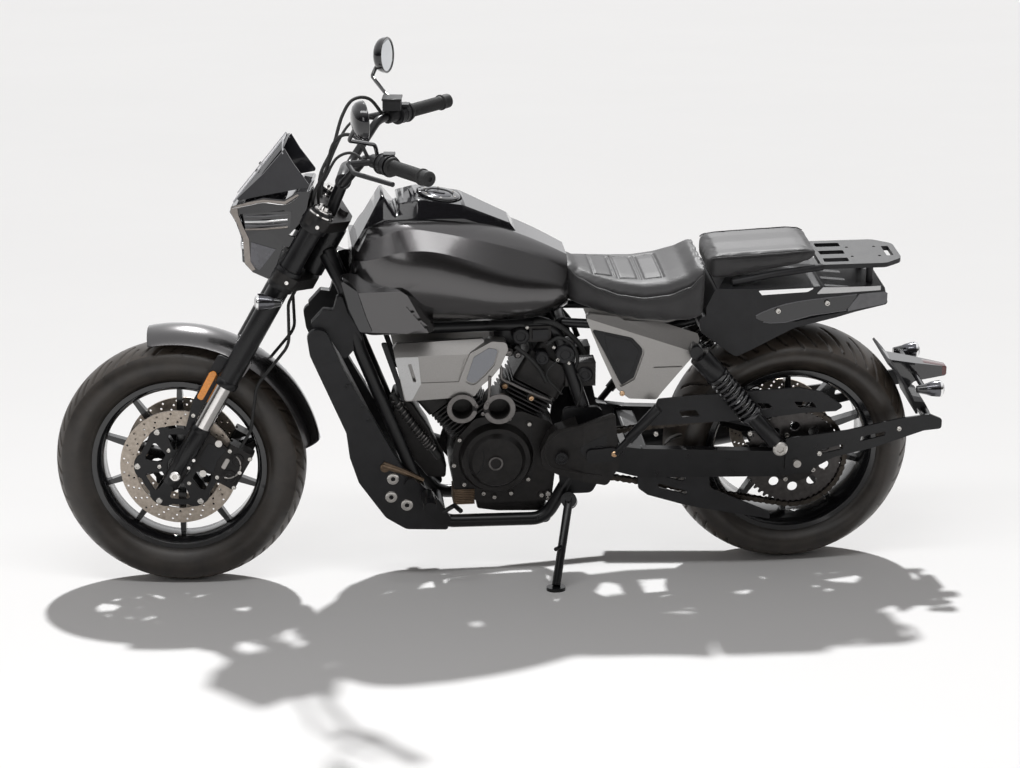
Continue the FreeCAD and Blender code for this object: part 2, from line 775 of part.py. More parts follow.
def sprocket_cover_shape():
    """Cover over the front sprocket that flares out past the swingarm's pivot."""
    flare = plan([
        (680, 100), (680, 134), (655, 134), (552, cover_face), (440, cover_face), (440, 100),
    ], 240, 500)
    pocket = box((440, 566), (100, size.arm_outer + 2), (250, 500))
    body = slab(SPROCKET_COVER_SIDE, size.chain_line - 16, cover_face).common(flare).cut(pocket)
    cavity = chain_band(size.chain_height + 4, size.chain_width / 2 + 3)
    bolt = cross_rod(size.axle_radius, arm_pivot_x, arm_pivot_z, 100, 200)
    for x, z in ((608, 358), (511, 373)):
        body = body.cut(cross_rod(17, x, z, cover_face - 4, cover_face + 4))
    return body.cut(cavity).cut(bolt).cut(main_frame)


def crank_covers():
    """Alternator cover on the left, clutch and timing covers on the right."""
    alternator = fuse([
        Part.makeCone(96, 86, 22, V(crank_x, 82, crank_z - 6), V(0, 1, 0)),
        Part.makeCone(74, 64, 12, V(crank_x, 104, crank_z - 6), V(0, 1, 0)),
        Part.makeCylinder(19, 16, V(crank_x + 4, 104, crank_z - 8), V(0, 1, 0)),
    ])
    clutch = fuse([
        Part.makeCone(96, 86, 26, V(crank_x - 70, -82, crank_z + 4), V(0, -1, 0)),
        Part.makeCone(70, 62, 10, V(crank_x + 60, -82, crank_z - 20), V(0, -1, 0)),
    ])
    return alternator.cut(main_frame), clutch.cut(main_frame)


def ring_cap(x, z, reach):
    """A round cup beside the cylinders with a wide open ring at its mouth."""
    mouth = cross_rod(26, x, z, 100, 150)
    cup = cross_rod(33, x, z, 60, 134).cut(mouth)
    ring = cross_rod(reach, x, z, 134, 142).cut(mouth)
    cap = fuse([cup, ring]).cut(front_cylinder).cut(rear_cylinder).cut(engine_block).cut(main_frame)
    return max(cap.Solids, key=lambda solid: solid.Volume)


sprocket_cover = sprocket_cover_shape()
alternator_cover, clutch_cover = crank_covers()
ring_caps = [ring_cap(858, 493, 38), ring_cap(764, 489, 40)]
engine_covers = Part.makeCompound(
    [alternator_cover, sprocket_cover.cut(alternator_cover), clutch_cover] + ring_caps)

AIRBOX_SIDE = (
    (1030, 652, 8), (1020, 662, 4), (800, 668, 6), (800, 560, 8), (826, 522, 8), (1002, 514, 8),
)
AIRBOX_SHIELD_SIDE = (
    (838, 640, 10), (783, 670, 16), (746, 666, 12), (742, 646, 12), (762, 600, 14), (784, 572, 12),
    (826, 538, 20), (868, 560, 14),
)
AIRBOX_SHIELD_INSET = (
    (830, 632, 8), (790, 656, 10), (764, 650, 8), (776, 606, 12), (798, 580, 10), (828, 552, 14), (852, 564, 8),
)


def airbox():
    """Cover in the vee: a bevelled panel with a slot, and a shield on its rear end."""
    bevel = beyond((1000, 132, 634), (850, 132, 636), (900, 112, 662))
    recess = slab([(962, 628, 4), (850, 628, 4), (866, 562, 4), (962, 562, 4)], 129, 140)
    slot = slab([(993, 614, 2), (986, 614, 2), (973, 567, 2), (980, 567, 2)], 118, 140)
    panel = slab(AIRBOX_SIDE, 98, 132).cut(bevel).cut(recess).cut(slot)
    shield = slab(AIRBOX_SHIELD_SIDE, 98, 138).cut(slab(AIRBOX_SHIELD_INSET, 134, 140))
    cover = fuse([panel, shield])
    for piece in [front_cylinder, rear_cylinder, main_frame] + ring_caps:
        cover = cover.cut(piece)
    return cover


airbox_covers = pair(airbox())

RADIATOR_SIDE = ((1188, 650, 6), (1040, 330, 6), (1076, 312, 6), (1222, 632, 6))
radiator = slab(RADIATOR_SIDE, -60, 60).cut(main_frame)

COWL_SIDE = (
    # x, z, corner radius: the side fairing from its round top down to the lower rail
    (1247, 706, 24), (1238, 640, 30), (1150, 428, 30), (1142, 360, 30), (1120, 290, 30), (1052, 190, 40),
    (1000, 156, 30), (892, 150, 8), (892, 182, 6), (944, 240, 20), (1014, 334, 30), (1079, 459, 60),
    (1149, 588, 30), (1196, 700, 24),
)
COWL_INSET_SIDE = ((1154, 552, 8), (1138, 565, 8), (1082, 467, 8), (1102, 454, 8))
HEAD_PANEL_SIDE = (
    (1236, 710, 8), (1200, 750, 8), (1176, 746, 4), (1160, 804, 8), (1140, 740, 20), (1102, 668, 10),
    (1150, 612, 10), (1196, 690, 20),
)


def cowl_side():
    """Side fairing over the down tube, leaning in towards the headstock, with a raised pad."""
    outer = fuse([slab(COWL_SIDE, 88, 118), slab(COWL_INSET_SIDE, 100, 121)])
    lean_in = beyond((1144, 122, 600), (900, 122, 600), (1144, 94, 760))
    return outer.cut(lean_in).cut(main_frame)


def head_panel():
    """Inner panel that closes the gap between the side fairing and the tank."""
    panel = slab(HEAD_PANEL_SIDE, 62, 86).cut(main_frame).cut(cowl_side())
    return max(panel.Solids, key=lambda solid: solid.Volume)


radiator_cowl = Part.makeCompound(pair(cowl_side()).Solids + pair(head_panel()).Solids)

# ---------------------------------------------------------------- bodywork

TANK_SECTIONS = (
    # x, then half width and z of the floor's edge, the knee, the crease, the ridge and the top's edge
    (1128, 40, 800, 74, 846, 92, 884, 82, 918, 50, 938),
    (1060, 70, 716, 140, 800, 148, 905, 116, 947, 64, 964),
    (1000, 90, 712, 164, 805, 156, 920, 121, 966, 68, 974),
    (940, 100, 712, 172, 812, 157, 920, 121, 961, 68, 974),
    (800, 104, 712, 173, 806, 154, 877, 118, 928, 64, 957),
    (680, 96, 714, 147, 776, 134, 834, 100, 885, 56, 914),
    (586, 70, 740, 93, 770, 88, 794, 74, 830, 46, 864),
)


def tank_section(row):
    """Half outline of the tank by lines and arcs, closed by its mirror image."""
    x = row[0]
    floor, knee, crease, ridge, top = [V(x, row[index], row[index + 1]) for index in range(1, 11, 2)]
    brow = V(x, (ridge.y + top.y) / 2 + 3, (ridge.z + top.z) / 2 + 4)
    flip = [V(x, -point.y, point.z) for point in (floor, knee, crease, ridge, top, brow)]
    edges = [
        Part.LineSegment(flip[0], floor),
        Part.Arc(floor, knee, crease),
        Part.LineSegment(crease, ridge),
        Part.Arc(ridge, brow, top),
        Part.LineSegment(top, flip[4]),
        Part.Arc(flip[4], flip[5], flip[3]),
        Part.LineSegment(flip[3], flip[2]),
        Part.Arc(flip[2], flip[1], flip[0]),
    ]
    return Part.Wire([edge.toShape() for edge in edges])


tank_body = loft([tank_section(row) for row in TANK_SECTIONS])

TOP_COVER_SIDE = (
    # x, z, corner radius: the gloss cover along the tank's middle
    (1128, 892, 8), (1048, 1036, 6), (1008, 976, 4), (1010, 1014, 6), (957, 1024, 60), (847, 1006, 40),
    (729, 950, 10), (695, 902, 6), (760, 900, 4), (1080, 880, 4),
)


TOP_COVER_SECTIONS = (
    # x, half width, edge z, crown half width, crown z
    (1170, 42, 905, 18, 950),
    (1048, 66, 975, 36, 1050),
    (960, 76, 978, 60, 1034),
    (846, 72, 974, 58, 1014),
    (680, 42, 905, 26, 952),
)


def top_cover_section(row):
    x, half, edge, crown_half, crown = row
    corners = [(half, 800), (half, edge), (crown_half, crown)]
    points = [V(x, y, z) for y, z in corners] + [V(x, -y, z) for y, z in reversed(corners)]
    return Part.makePolygon(points + points[:1])


def top_cover():
    """Gloss cover along the tank's middle, with sloping sides."""
    side = slab(TOP_COVER_SIDE, -90, 90)
    taper = Part.makeLoft([top_cover_section(row) for row in TOP_COVER_SECTIONS], True, True)
    return side.common(taper).cut(main_frame)


cap_x = 902
cap_slope = 9.0
cap_turn = Placement(V(cap_x, 0, 1018), Rotation(V(0, 1, 0), -cap_slope))


def cap_disc(radius, low, high):
    """A disc square to the filler, between two heights from the cap's seat."""
    return moved(Part.makeCylinder(radius, high - low, V(0, 0, low), V(0, 0, 1)), cap_turn)


cap_well = cap_disc(size.cap_radius + size.moving_gap, -size.cap_sink, 40)
neck = cap_disc(size.filler_radius, -size.cap_sink - size.filler_depth, 0)
yoke_sweep = moved(
    box((-size.fork_offset - 60, 200), (-300, 300), (size.upper_yoke_height - 12, 900)), fork_frame)
tank_top_cover = top_cover().cut(cap_well).cut(neck)
fuel_tank = tank_body.cut(yoke_sweep).cut(top_cover()).cut(neck).cut(cap_well)
cap_hinge = cap_turn.multVec(V(size.cap_radius - 3, 0, 0))
cap_knuckle = cross_rod(3.5, cap_hinge.x, cap_hinge.z, -14, 14)
fuel_cap = fuse([cap_disc(size.cap_radius, size.moving_gap - size.cap_sink, 0), cap_knuckle])


SCOOP_SIDE = (
    (1160, 858, 8), (1128, 846, 4), (1082, 848, 4), (1014, 826, 10), (984, 806, 8), (925, 716, 6),
    (1100, 712, 6), (1140, 770, 10),
)
SCOOP_FRAME_SIDE = (
    (1160, 846, 4), (1120, 820, 4), (1098, 750, 6), (1083, 713, 4), (1114, 713, 8), (1138, 766, 10),
)
SCOOP_SLOTS = (
    # x, z of each slanted slot's front end
    (1002, 786), (985, 765), (968, 744),
)


def scoop_taper(extra):
    """Plan outline of the scoop, this much fuller than its faces."""
    return plan([
        (1175, 88), (1175, 128 + extra), (1120, 150 + extra), (1000, 180 + extra), (900, 184 + extra), (900, 88),
    ], 690, 880)


def scoop():
    """Side scoop: a faceted wedge standing proud of the tank's front side, with three slots."""
    top = beyond((1118, 150, 815), (1001, 180, 827), (1060, 118, 850))
    back = beyond((1000, 180, 820), (945, 182, 716), (925, 166, 716))
    body = slab(SCOOP_SIDE, 90, 190).common(scoop_taper(0)).cut(top).cut(back)
    for x, z in SCOOP_SLOTS:
        body = body.cut(slab([(x, z, 2), (x - 8, z + 2, 2), (x - 24, z - 15, 2), (x - 14, z - 17, 2)], 172, 190))
    return body


def scoop_frame():
    """Gloss frame round the scoop's mouth, with its opening."""
    frame = slab(SCOOP_FRAME_SIDE, 96, 170).common(scoop_taper(3))
    mouth = slab([(1180, 826, 4), (1124, 806, 8), (1108, 748, 10), (1104, 728, 6), (1180, 728, 4)], 90, 134)
    return frame.cut(mouth)


def on_tank(shape):
    """The largest piece of a side panel that is left beside the tank and the fairing."""
    rest = shape.cut(tank_body).cut(main_frame).cut(cowl_side()).cut(head_panel())
    return max(rest.Solids, key=lambda solid: solid.Volume)


side_scoops = pair(on_tank(scoop().cut(scoop_frame())))
scoop_frames = pair(on_tank(scoop_frame()))

SIDE_COVER_SIDE = (
    (552, 738, 12), (268, 686, 12), (254, 654, 10), (268, 620, 8), (350, 520, 8), (364, 500, 8), (434, 505, 14),
    (466, 532, 10), (510, 632, 30),
)
SIDE_COVER_INSET = ((536, 698, 4), (426, 670, 24), (395, 634, 22), (420, 556, 16), (456, 536, 4), (502, 632, 30))


def side_cover():
    """Triangular cover under the seat: a folded top, a sunk panel and a slit."""
    fold = beyond((541, 143, 724), (268, 143, 624), (400, 119, 716))
    inset = slab(SIDE_COVER_INSET, 136, 150)
    slit = box((301, 373), (139, 150), (586, 590))
    return slab(SIDE_COVER_SIDE, 118, 143).cut(fold).cut(inset).cut(slit)


side_cover_plate = side_cover()

SEAT_SECTIONS = (
    # x, floor z, edge z, top z, floor half width, edge half width, top half width
    (592, 742, 800, 850, 62, 84, 44),
    (510, 722, 772, 818, 108, 124, 84),
    (400, 706, 752, 806, 140, 160, 110),
    (300, 702, 770, 826, 140, 162, 112),
    (238, 712, 800, 856, 122, 142, 96),
)


def seat_section(row):
    x, floor, edge, top, floor_half, edge_half, top_half = row
    corners = [
        (V(x, -floor_half, floor), 0), (V(x, floor_half, floor), 0), (V(x, edge_half, edge), 24),
        (V(x, top_half, top), 20), (V(x, -top_half, top), 20), (V(x, -edge_half, edge), 24),
    ]
    return rounded_wire(corners)


rider_seat = loft([seat_section(row) for row in SEAT_SECTIONS]).cut(tank_body).cut(main_frame)
PILLION_SIDE = (
    (252, 900, 20), (236, 926, 14), (120, 932, 60), (-20, 914, 30), (-50, 868, 12), (-42, 846, 8),
    (226, 800, 12),
)
pillion_seat = slab(PILLION_SIDE, -112, 112).cut(rider_seat)

tyre_arch = Part.makeCylinder(size.rear_tyre_radius + 22, 214, V(0, -107, rear_axle.z), V(0, 1, 0))


TAIL_SIDE = (
    (256, 696, 6), (250, 668, 10), (160, 600, 16), (10, 672, 60), (-150, 704, 40), (-236, 716, 8),
    (-224, 766, 8), (-60, 780, 60), (216, 784, 10),
)
TAIL_RECESS_SIDE = (
    (72, 700, 4), (40, 718, 8), (-41, 724, 30), (-206, 737, 4), (-160, 712, 8), (-60, 700, 30), (10, 688, 6),
)


def tail_taper(inset):
    return plan_half([(260, 118 - inset), (120, 124 - inset), (-100, 110 - inset), (-240, 84 - inset)], 500, 900)


def tail():
    """Tail unit: side panels over the subframe, arched clear of the tyre, with a recess on each side."""
    recess = slab(TAIL_RECESS_SIDE, -130, 130).cut(tail_taper(6))
    body = slab(TAIL_SIDE, -124, 124).common(tail_taper(0)).cut(recess)
    return body.cut(tyre_arch).cut(main_frame).cut(pillion_seat).cut(rider_seat)


tail_unit = tail()


RACK_BOLTS = (V(-184, 0, 830), 100.0, 4.2)
rack_low, rack_high = 818, 830


def rack():
    """Carrier plate with slots and bolt holes, on two side rails."""
    plate = plan([
        (-58, -92, 8), (-58, 92, 8), (-225, 92, 30), (-272, 56, 30), (-272, -56, 30), (-225, -92, 30),
    ], rack_low, rack_high)
    slots = [[(-70, y - 14, 4), (-134, y - 14, 4), (-134, y + 14, 4), (-70, y + 14, 4)] for y in (-58, 0, 58)]
    slots.append([(-238, -36, 4), (-256, -36, 4), (-256, 36, 4), (-238, 36, 4)])
    for rows in slots:
        plate = plate.cut(plan(rows, rack_low - 10, rack_high + 10))
    centre, circle, hole = RACK_BOLTS
    reach = circle / 2 / math.sqrt(2)
    for x_side, y_side in ((1, 1), (1, -1), (-1, -1), (-1, 1)):
        x, y = centre.x + x_side * reach, y_side * reach
        plate = plate.cut(rod(hole, (x, y, rack_low - 10), (x, y, rack_high + 10)))
    rail = pipe([(170, 98, 792, 0), (60, 98, 812, 60), (-62, 86, 822, 0)], 9)
    foot = pair(rod(9, (-190, 60, 768), (-190, 60, 820)))
    return fuse([plate, rail, mirrored(rail)] + foot.Solids).cut(tail_unit).cut(pillion_seat)


luggage_rack = rack()

# ---------------------------------------------------------------- rear end

def swingarm_shape():
    """Box arms outside the chain, bridged ahead of the tyre."""
    axle = rear_axle.z
    arm = slab([
        (530, 392, 12), (400, 372, 60), (60, axle + 32, 10), (-40, axle + 32, 16), (-48, axle - 30, 16),
        (60, axle - 38, 20), (400, 292, 40), (530, 330, 12),
    ], size.arm_inner, size.arm_outer)
    boss = cross_rod(28, arm_pivot_x, arm_pivot_z, 111, size.arm_outer)
    bridge = slab([(430, 366, 8), (380, 362, 8), (380, 306, 8), (430, 306, 8)], -size.arm_outer, size.arm_outer)
    bore = cross_rod(size.axle_radius, rear_axle.x, rear_axle.z, -200, 200)
    pin_hole = cross_rod(size.axle_radius, arm_pivot_x, arm_pivot_z, -200, 200)
    return fuse([arm, mirrored(arm), boss, mirrored(boss), bridge]).cut(bore).cut(pin_hole)


swingarm = swingarm_shape().cut(sprocket_cover).cut(engine_block).cut(main_frame)
rear_axle_bar = rod(size.axle_radius, (rear_axle.x, -size.arm_outer - 16, rear_axle.z),
                    (rear_axle.x, size.arm_outer + 16, rear_axle.z))
rear_axle_bar = fuse([
    rear_axle_bar,
    rod(size.axle_radius + 7, (rear_axle.x, size.chain_line + 5, rear_axle.z),
        (rear_axle.x, size.arm_inner, rear_axle.z)),
    rod(size.axle_radius + 7, (rear_axle.x, -size.arm_inner, rear_axle.z),
        (rear_axle.x, -size.rear_hub_half - size.disc_thickness - 1, rear_axle.z)),
])

SHOCK_TOP = V(272, size.shock_half_spacing, 640)
SHOCK_FOOT = V(50, size.shock_half_spacing, rear_axle.z + 52)
shock_along = (SHOCK_TOP - SHOCK_FOOT).normalize()
shock_length = (SHOCK_TOP - SHOCK_FOOT).Length


def shock():
    """Damper body, rod and eyes; the spring is its own piece."""
    def along(distance):
        return tuple(SHOCK_FOOT + shock_along * distance)
    lower = rod(21, along(18), along(130))
    inner = rod(11, along(130), along(shock_length - 96))
    cap = rod(28, along(shock_length - 96), along(shock_length - 16))
    middle = size.shock_half_spacing
    eyes = [cross_rod(17, end.x, end.z, middle - 14, middle + 14) for end in (SHOCK_FOOT, SHOCK_TOP)]
    pins = [cross_rod(9, SHOCK_FOOT.x, SHOCK_FOOT.z, size.arm_outer, middle),
            cross_rod(9, SHOCK_TOP.x, SHOCK_TOP.z, 110, middle)]
    return fuse([lower, inner, cap] + eyes + pins)


def spring():
    """The coil spring's outer shape round the damper rod."""
    def along(distance):
        return tuple(SHOCK_FOOT + shock_along * distance)
    sleeve = rod(27, along(130), along(shock_length - 96))
    return sleeve.cut(rod(11, along(120), along(shock_length - 90)))


shock_absorbers = pair(shock().cut(tail_unit))
side_covers = pair(side_cover_plate.cut(shock()).cut(rider_seat))
shock_springs = pair(spring())


drive_chain = chain_band(size.chain_height, size.chain_width / 2).cut(chain_band(0.5, 40))


UPPER_GUARD_SIDE = (
    (360, 502, 8), (150, 514, 60), (0, 520, 60), (-62, 506, 40), (-120, 464, 6), (-100, 452, 8),
    (-10, 450, 30), (100, 438, 20), (386, 430, 8),
)
LOWER_GUARD_SIDE = (
    (412, 338, 4), (380, 331, 4), (371, 296, 10), (284, 271, 8), (284, 312, 4), (226, 312, 4), (220, 250, 20),
    (64, 178, 6), (60, 158, 4), (245, 197, 20), (291, 209, 10), (382, 239, 14), (406, 258, 8),
)
GUARD_SLOTS = (
    # four corners of each slot, x and z
    ((306, 469), (262, 469), (250, 451), (298, 451)),
    ((112, 483), (74, 480), (62, 463), (104, 464)),
    ((12, 483), (-38, 479), (-52, 462), (-4, 463)),
    ((357, 271), (281, 246), (279, 234), (353, 258)),
)


def guards():
    """Upper chain guard and the lower guard under the chain's lower run, with their slots."""
    y_low, y_high = size.arm_outer - 17, size.arm_outer - 10
    upper, lower = [slab(rows, y_low, y_high) for rows in (UPPER_GUARD_SIDE, LOWER_GUARD_SIDE)]
    slots = [slab([(x, z, 3) for x, z in corners], y_low - 1, y_high + 1) for corners in GUARD_SLOTS]
    for slot in slots:
        upper, lower = upper.cut(slot), lower.cut(slot)
    return Part.makeCompound([upper, lower.cut(swingarm)])


chain_guards = guards()

mudguard_inner = size.rear_tyre_radius + size.mudguard_gap
mudguard_outer = mudguard_inner + size.mudguard_wall
lamp_x = rear_axle.x - mudguard_outer
LAMP_ARM_SIDE = (
    # x, z from the rear axle
    (30, 68, 10), (-128, 84, 60), (-267, 112, 40), (-342, 121, 14), (-374, 106, 8), (-374, 80, 8),
    (-328, 76, 20), (-200, 34, 50), (-98, 12, 40), (-50, -14, 16), (30, -22, 10),
)
LAMP_ARM_SLOTS = (
    ((-64, 34), (-120, 47), (-118, 33), (-58, 20)),
    ((-165, 65), (-228, 78), (-227, 66), (-163, 52)),
)


def from_axle(rows):
    """Rows measured from the rear axle, in the bike's frame."""
    return [(row[0] + rear_axle.x, row[1] + rear_axle.z) + tuple(row[2:]) for row in rows]


def lamp_arm():
    """Plate arm from the rear axle's end back to the tail lamp, with two slots."""
    y_low, y_high = size.arm_outer, size.arm_outer + 6
    arm = slab(from_axle(LAMP_ARM_SIDE), y_low, y_high)
    for corners in LAMP_ARM_SLOTS:
        arm = arm.cut(slab([(x, z, 3) for x, z in from_axle(corners)], y_low - 1, y_high + 1))
    hole = cross_rod(size.axle_radius, rear_axle.x, rear_axle.z, 100, 260)
    return arm.cut(hole).cut(shock())


def lamp_arms_shape():
    arm = lamp_arm()
    bar = cross_rod(9, lamp_x - 10, rear_axle.z + 90, -size.arm_outer - 6, size.arm_outer + 6)
    return fuse([arm, mirrored(arm), bar])


lamp_arms = lamp_arms_shape()


def mud_flap():
    """Curved guard close behind the tyre, with the strut and plate holder behind it."""
    x, z = rear_axle.x, rear_axle.z
    half = size.rear_crown_half
    ring = turned([
        (mudguard_inner, -half), (mudguard_outer, -half), (mudguard_outer, half), (mudguard_inner, half),
    ], x, z)
    low, high = math.radians(164), math.radians(136)
    reach = 2 * mudguard_outer
    wedge = Part.Face(Part.makePolygon([
        V(x, -half - 10, z), V(x + reach * math.cos(low), -half - 10, z + reach * math.sin(low)),
        V(x + reach * math.cos(high), -half - 10, z + reach * math.sin(high)), V(x, -half - 10, z),
    ])).extrude(V(0, 2 * half + 20, 0))
    flap = ring.common(wedge)
    strut = slab([
        (lamp_x + 28, z + 116, 4), (lamp_x - 10, z + 112, 4), (lamp_x - 42, z + 54, 4), (lamp_x - 24, z + 36, 4),
        (lamp_x - 2, z + 84, 6),
    ], -60, 60)
    return fuse([flap, strut]).cut(lamp_arms)


rear_mudguard = mud_flap()


def rear_lamps_shape():
    """Slim tail lamp and two bullet indicators."""
    z = rear_axle.z
    lamp = slab([
        (lamp_x + 106, z + 242, 6), (lamp_x + 78, z + 222, 6), (lamp_x - 74, z + 191, 6), (lamp_x - 74, z + 166, 5),
        (lamp_x + 12, z + 158, 16), (lamp_x + 34, z + 132, 8), (lamp_x + 46, z + 132, 4),
    ], -34, 34)
    taper = plan_half([(lamp_x + 112, 34), (lamp_x + 12, 27), (lamp_x - 76, 13)], z + 80, z + 280)
    lamp = lamp.common(taper)
    lamp = lamp.cut(Part.makeCylinder(mudguard_outer, 200, V(rear_axle.x, -100, z), V(0, 1, 0)))
    lamp = max(lamp.Solids, key=lambda solid: solid.Volume)
    stalk = cross_rod(7, lamp_x + 12, z + 180, -138, 138)
    bullet = Part.makeCone(21, 9, 56, V(lamp_x - 24, 138, z + 180), V(1, 0, 0))
    glass = Part.makeCylinder(21, 8, V(lamp_x - 32, 138, z + 180), V(1, 0, 0))
    left = fuse([bullet, glass])
    return fuse([lamp, stalk, left, mirrored(left)]).cut(rear_mudguard)


rear_lamps = rear_lamps_shape()


def rear_caliper_shape():
    """Rear caliper under the right arm."""
    face = -size.rear_hub_half - size.disc_thickness
    gap = size.moving_gap
    body = box((56, 120), (-size.arm_inner - 8, face + size.disc_thickness + gap + 12),
               (rear_axle.z + 42, rear_axle.z + 112))
    envelope = Part.makeCylinder(size.rear_disc_radius + gap, size.disc_thickness + 2 * gap,
                                 V(rear_axle.x, face - gap, rear_axle.z), V(0, 1, 0))
    return body.cut(envelope)


rear_caliper = rear_caliper_shape()


def exhaust_shape():
    """Two headers on the right into one long silencer."""
    y = -150
    front = pipe([
        (930, -70, 470, 0), (985, -110, 470, 40), (940, y, 300, 60), (700, y, 208, 60), (430, y - 60, 208, 0),
    ], 20)
    silencer = rod(46, (440, -226, 215), (-40, -226, 290))
    return fuse([front, silencer])


exhaust = exhaust_shape().cut(radiator_cowl).cut(main_frame).cut(front_cylinder)


def rests():
    """Forward pegs with their brackets, pillion pegs and the gear lever."""
    bracket = slab([
        (985, 305, 14), (925, 250, 14), (880, 180, 14), (912, 168, 14), (968, 230, 14), (1010, 290, 14),
    ], 121, 133)
    peg = cross_rod(12, 947, 262, 133, 235)
    pad = cross_rod(17, 947, 262, 150, 235)
    lever = pipe([(905, 128, 205, 0), (880, 160, 236, 14), (868, 205, 240, 0)], 6)
    link = rod(4, (905, 138, 200), (660, 138, 226))
    hanger = fuse([
        cross_rod(size.axle_radius - 0.5, arm_pivot_x, arm_pivot_z, 104, cover_face + 8),
        slab([(545, 380, 12), (468, 386, 16), (462, 350, 16), (545, 344, 12)], cover_face + 1, cover_face + 8),
    ])
    foot, tip = V(470, cover_face + 4, 368), V(366, cover_face + 18, 494)
    middle = foot + (tip - foot) * 0.3
    folded = fuse([rod(9, tuple(foot), tuple(tip)), rod(13, tuple(middle), tuple(tip))])
    front = fuse([bracket, peg, pad, lever])
    right = mirrored(fuse([bracket, peg, pad]))
    rear = fuse([hanger, folded])
    return [front, right, rear, mirrored(rear)]


footrests = Part.makeCompound([
    piece.cut(main_frame).cut(swingarm).cut(sprocket_cover) for piece in rests()])

# ---------------------------------------------------------------- side stand

stand_pivot = V(size.stand_pivot_x, size.stand_pivot_y, size.stand_pivot_z)
stand_foot = stance.inverse().multVec(V(size.stand_foot_x, size.stand_reach, 0))
stand_down = (stand_foot - stand_pivot).normalize()
stand_stowed = V(-0.97, 0.24, 0.02).normalize()
stand_axis = stand_down.cross(stand_stowed).normalize()


def stand_shape():
    """Leg from the pivot to a flat foot on the ground, with a tang to kick it down."""
    foot_top = stand_foot + ground_up * 8
    leg = rod(11, tuple(stand_pivot - stand_down * 4), tuple(foot_top + (stand_pivot - foot_top).normalize() * 4))
    pad = Part.makeCylinder(24, 9, stand_foot, ground_up)
    eye = Part.makeCylinder(20, 14, stand_pivot - stand_axis * 7, stand_axis)
    bore = Part.makeCylinder(7.3, 40, stand_pivot - stand_axis * 20, stand_axis)
    knee = stand_pivot + stand_down * 120
    tang = rod(5, tuple(knee), tuple(knee + V(22, 40, 10)))
    return fuse([leg, pad, eye, tang]).cut(bore)


side_stand = stand_shape()


def stand_bracket():
    """Lug on the left lower rail that the stand's eye turns on."""
    pin = Part.makeCylinder(7, 34, stand_pivot - stand_axis * 17, stand_axis)
    cheek = Part.makeCylinder(20, 5, stand_pivot - stand_axis * 17, stand_axis)
    arm = rod(12, tuple(stand_pivot - stand_axis * 17 + V(-4, -4, 0)), (590, 96, 222))
    return fuse([pin, cheek, arm])


side_stand_bracket = stand_bracket().cut(main_frame)

# ---------------------------------------------------------------- placing and export

steered = stance.multiply(steering(-size.steer_angle))
forked = steered.multiply(fork_frame)
brake_hoses = Part.makeCompound([hose(1), hose(-1)]).cut(front_calipers)

NODES = (
    # node, shape, its frame
    ("main_frame", main_frame, stance),
    ("side_stand_bracket", side_stand_bracket, stance),
    ("engine_block", engine_block, stance),
    ("front_cylinder", front_cylinder, stance),
    ("rear_cylinder", rear_cylinder, stance),
    ("engine_covers", engine_covers, stance),
    ("airbox_covers", airbox_covers, stance),
    ("radiator", radiator, stance),
    ("radiator_cowl", radiator_cowl, stance),
    ("fuel_tank", fuel_tank, stance),
    ("tank_top_cover", tank_top_cover, stance),
    ("side_scoops", side_scoops, stance),
    ("scoop_frames", scoop_frames, stance),
    ("side_covers", side_covers, stance),
    ("rider_seat", rider_seat, stance),
    ("pillion_seat", pillion_seat, stance),
    ("tail_unit", tail_unit, stance),
    ("luggage_rack", luggage_rack, stance),
    ("swingarm", swingarm, stance),
    ("rear_axle", rear_axle_bar, stance),
    ("shock_absorbers", shock_absorbers, stance),
    ("shock_springs", shock_springs, stance),
    ("drive_chain", drive_chain, stance),
    ("chain_guards", chain_guards, stance),
    ("lamp_arms", lamp_arms, stance),
    ("rear_mudguard", rear_mudguard, stance),
    ("rear_lamps", rear_lamps, stance),
    ("rear_caliper", rear_caliper, stance),
    ("exhaust", exhaust, stance),
    ("footrests", footrests, stance),
    ("fork_legs", fork_legs, forked),
    ("fork_yokes", fork_yokes, forked),
    ("fork_guards", fork_guards, forked),
    ("front_axle", front_axle_bar, forked),
    ("front_calipers", front_calipers, forked),
    ("brake_hoses", brake_hoses, forked),
    ("front_fender", front_fender, steered),
    ("handlebar", handlebar, steered),
    ("hand_grips", hand_grips, steered),
    ("hand_controls", hand_controls, steered),
    ("mirrors", mirrors, steered),
    ("headlight", headlight, steered),
    ("headlight_lens", headlight_lens, steered),
    ("flyscreen", flyscreen, steered),
    ("front_indicators", front_indicators, steered),
    ("front_tyre", front_tyre, steered),
    ("front_rim", front_rim, steered),
    ("front_discs", front_discs, steered),
    ("rear_tyre", rear_tyre, stance),
    ("rear_rim", rear_rim, stance),
    ("rear_sprocket", rear_sprocket, stance),
    ("rear_disc", rear_disc, stance),
    ("side_stand", side_stand, stance),
    ("fuel_cap", fuel_cap, stance),
)

low = V(1e9, 1e9, 1e9)
high = V(-1e9, -1e9, -1e9)
for label, shape, frame in NODES:
    bounds = moved(shape, frame).optimalBoundingBox(True, False)
    low = V(min(low.x, bounds.XMin), min(low.y, bounds.YMin), min(low.z, bounds.ZMin))
    high = V(max(high.x, bounds.XMax), max(high.y, bounds.YMax), max(high.z, bounds.ZMax))
to_middle = Placement(V(-(low.x + high.x) / 2, -(low.y + high.y) / 2, 0), Rotation())

for label, shape, frame in NODES:
    item = doc.addObject("Part::Feature", label)
    item.Label = label
    item.Shape = shape
    item.Placement = to_middle.multiply(frame)
doc.recompute()

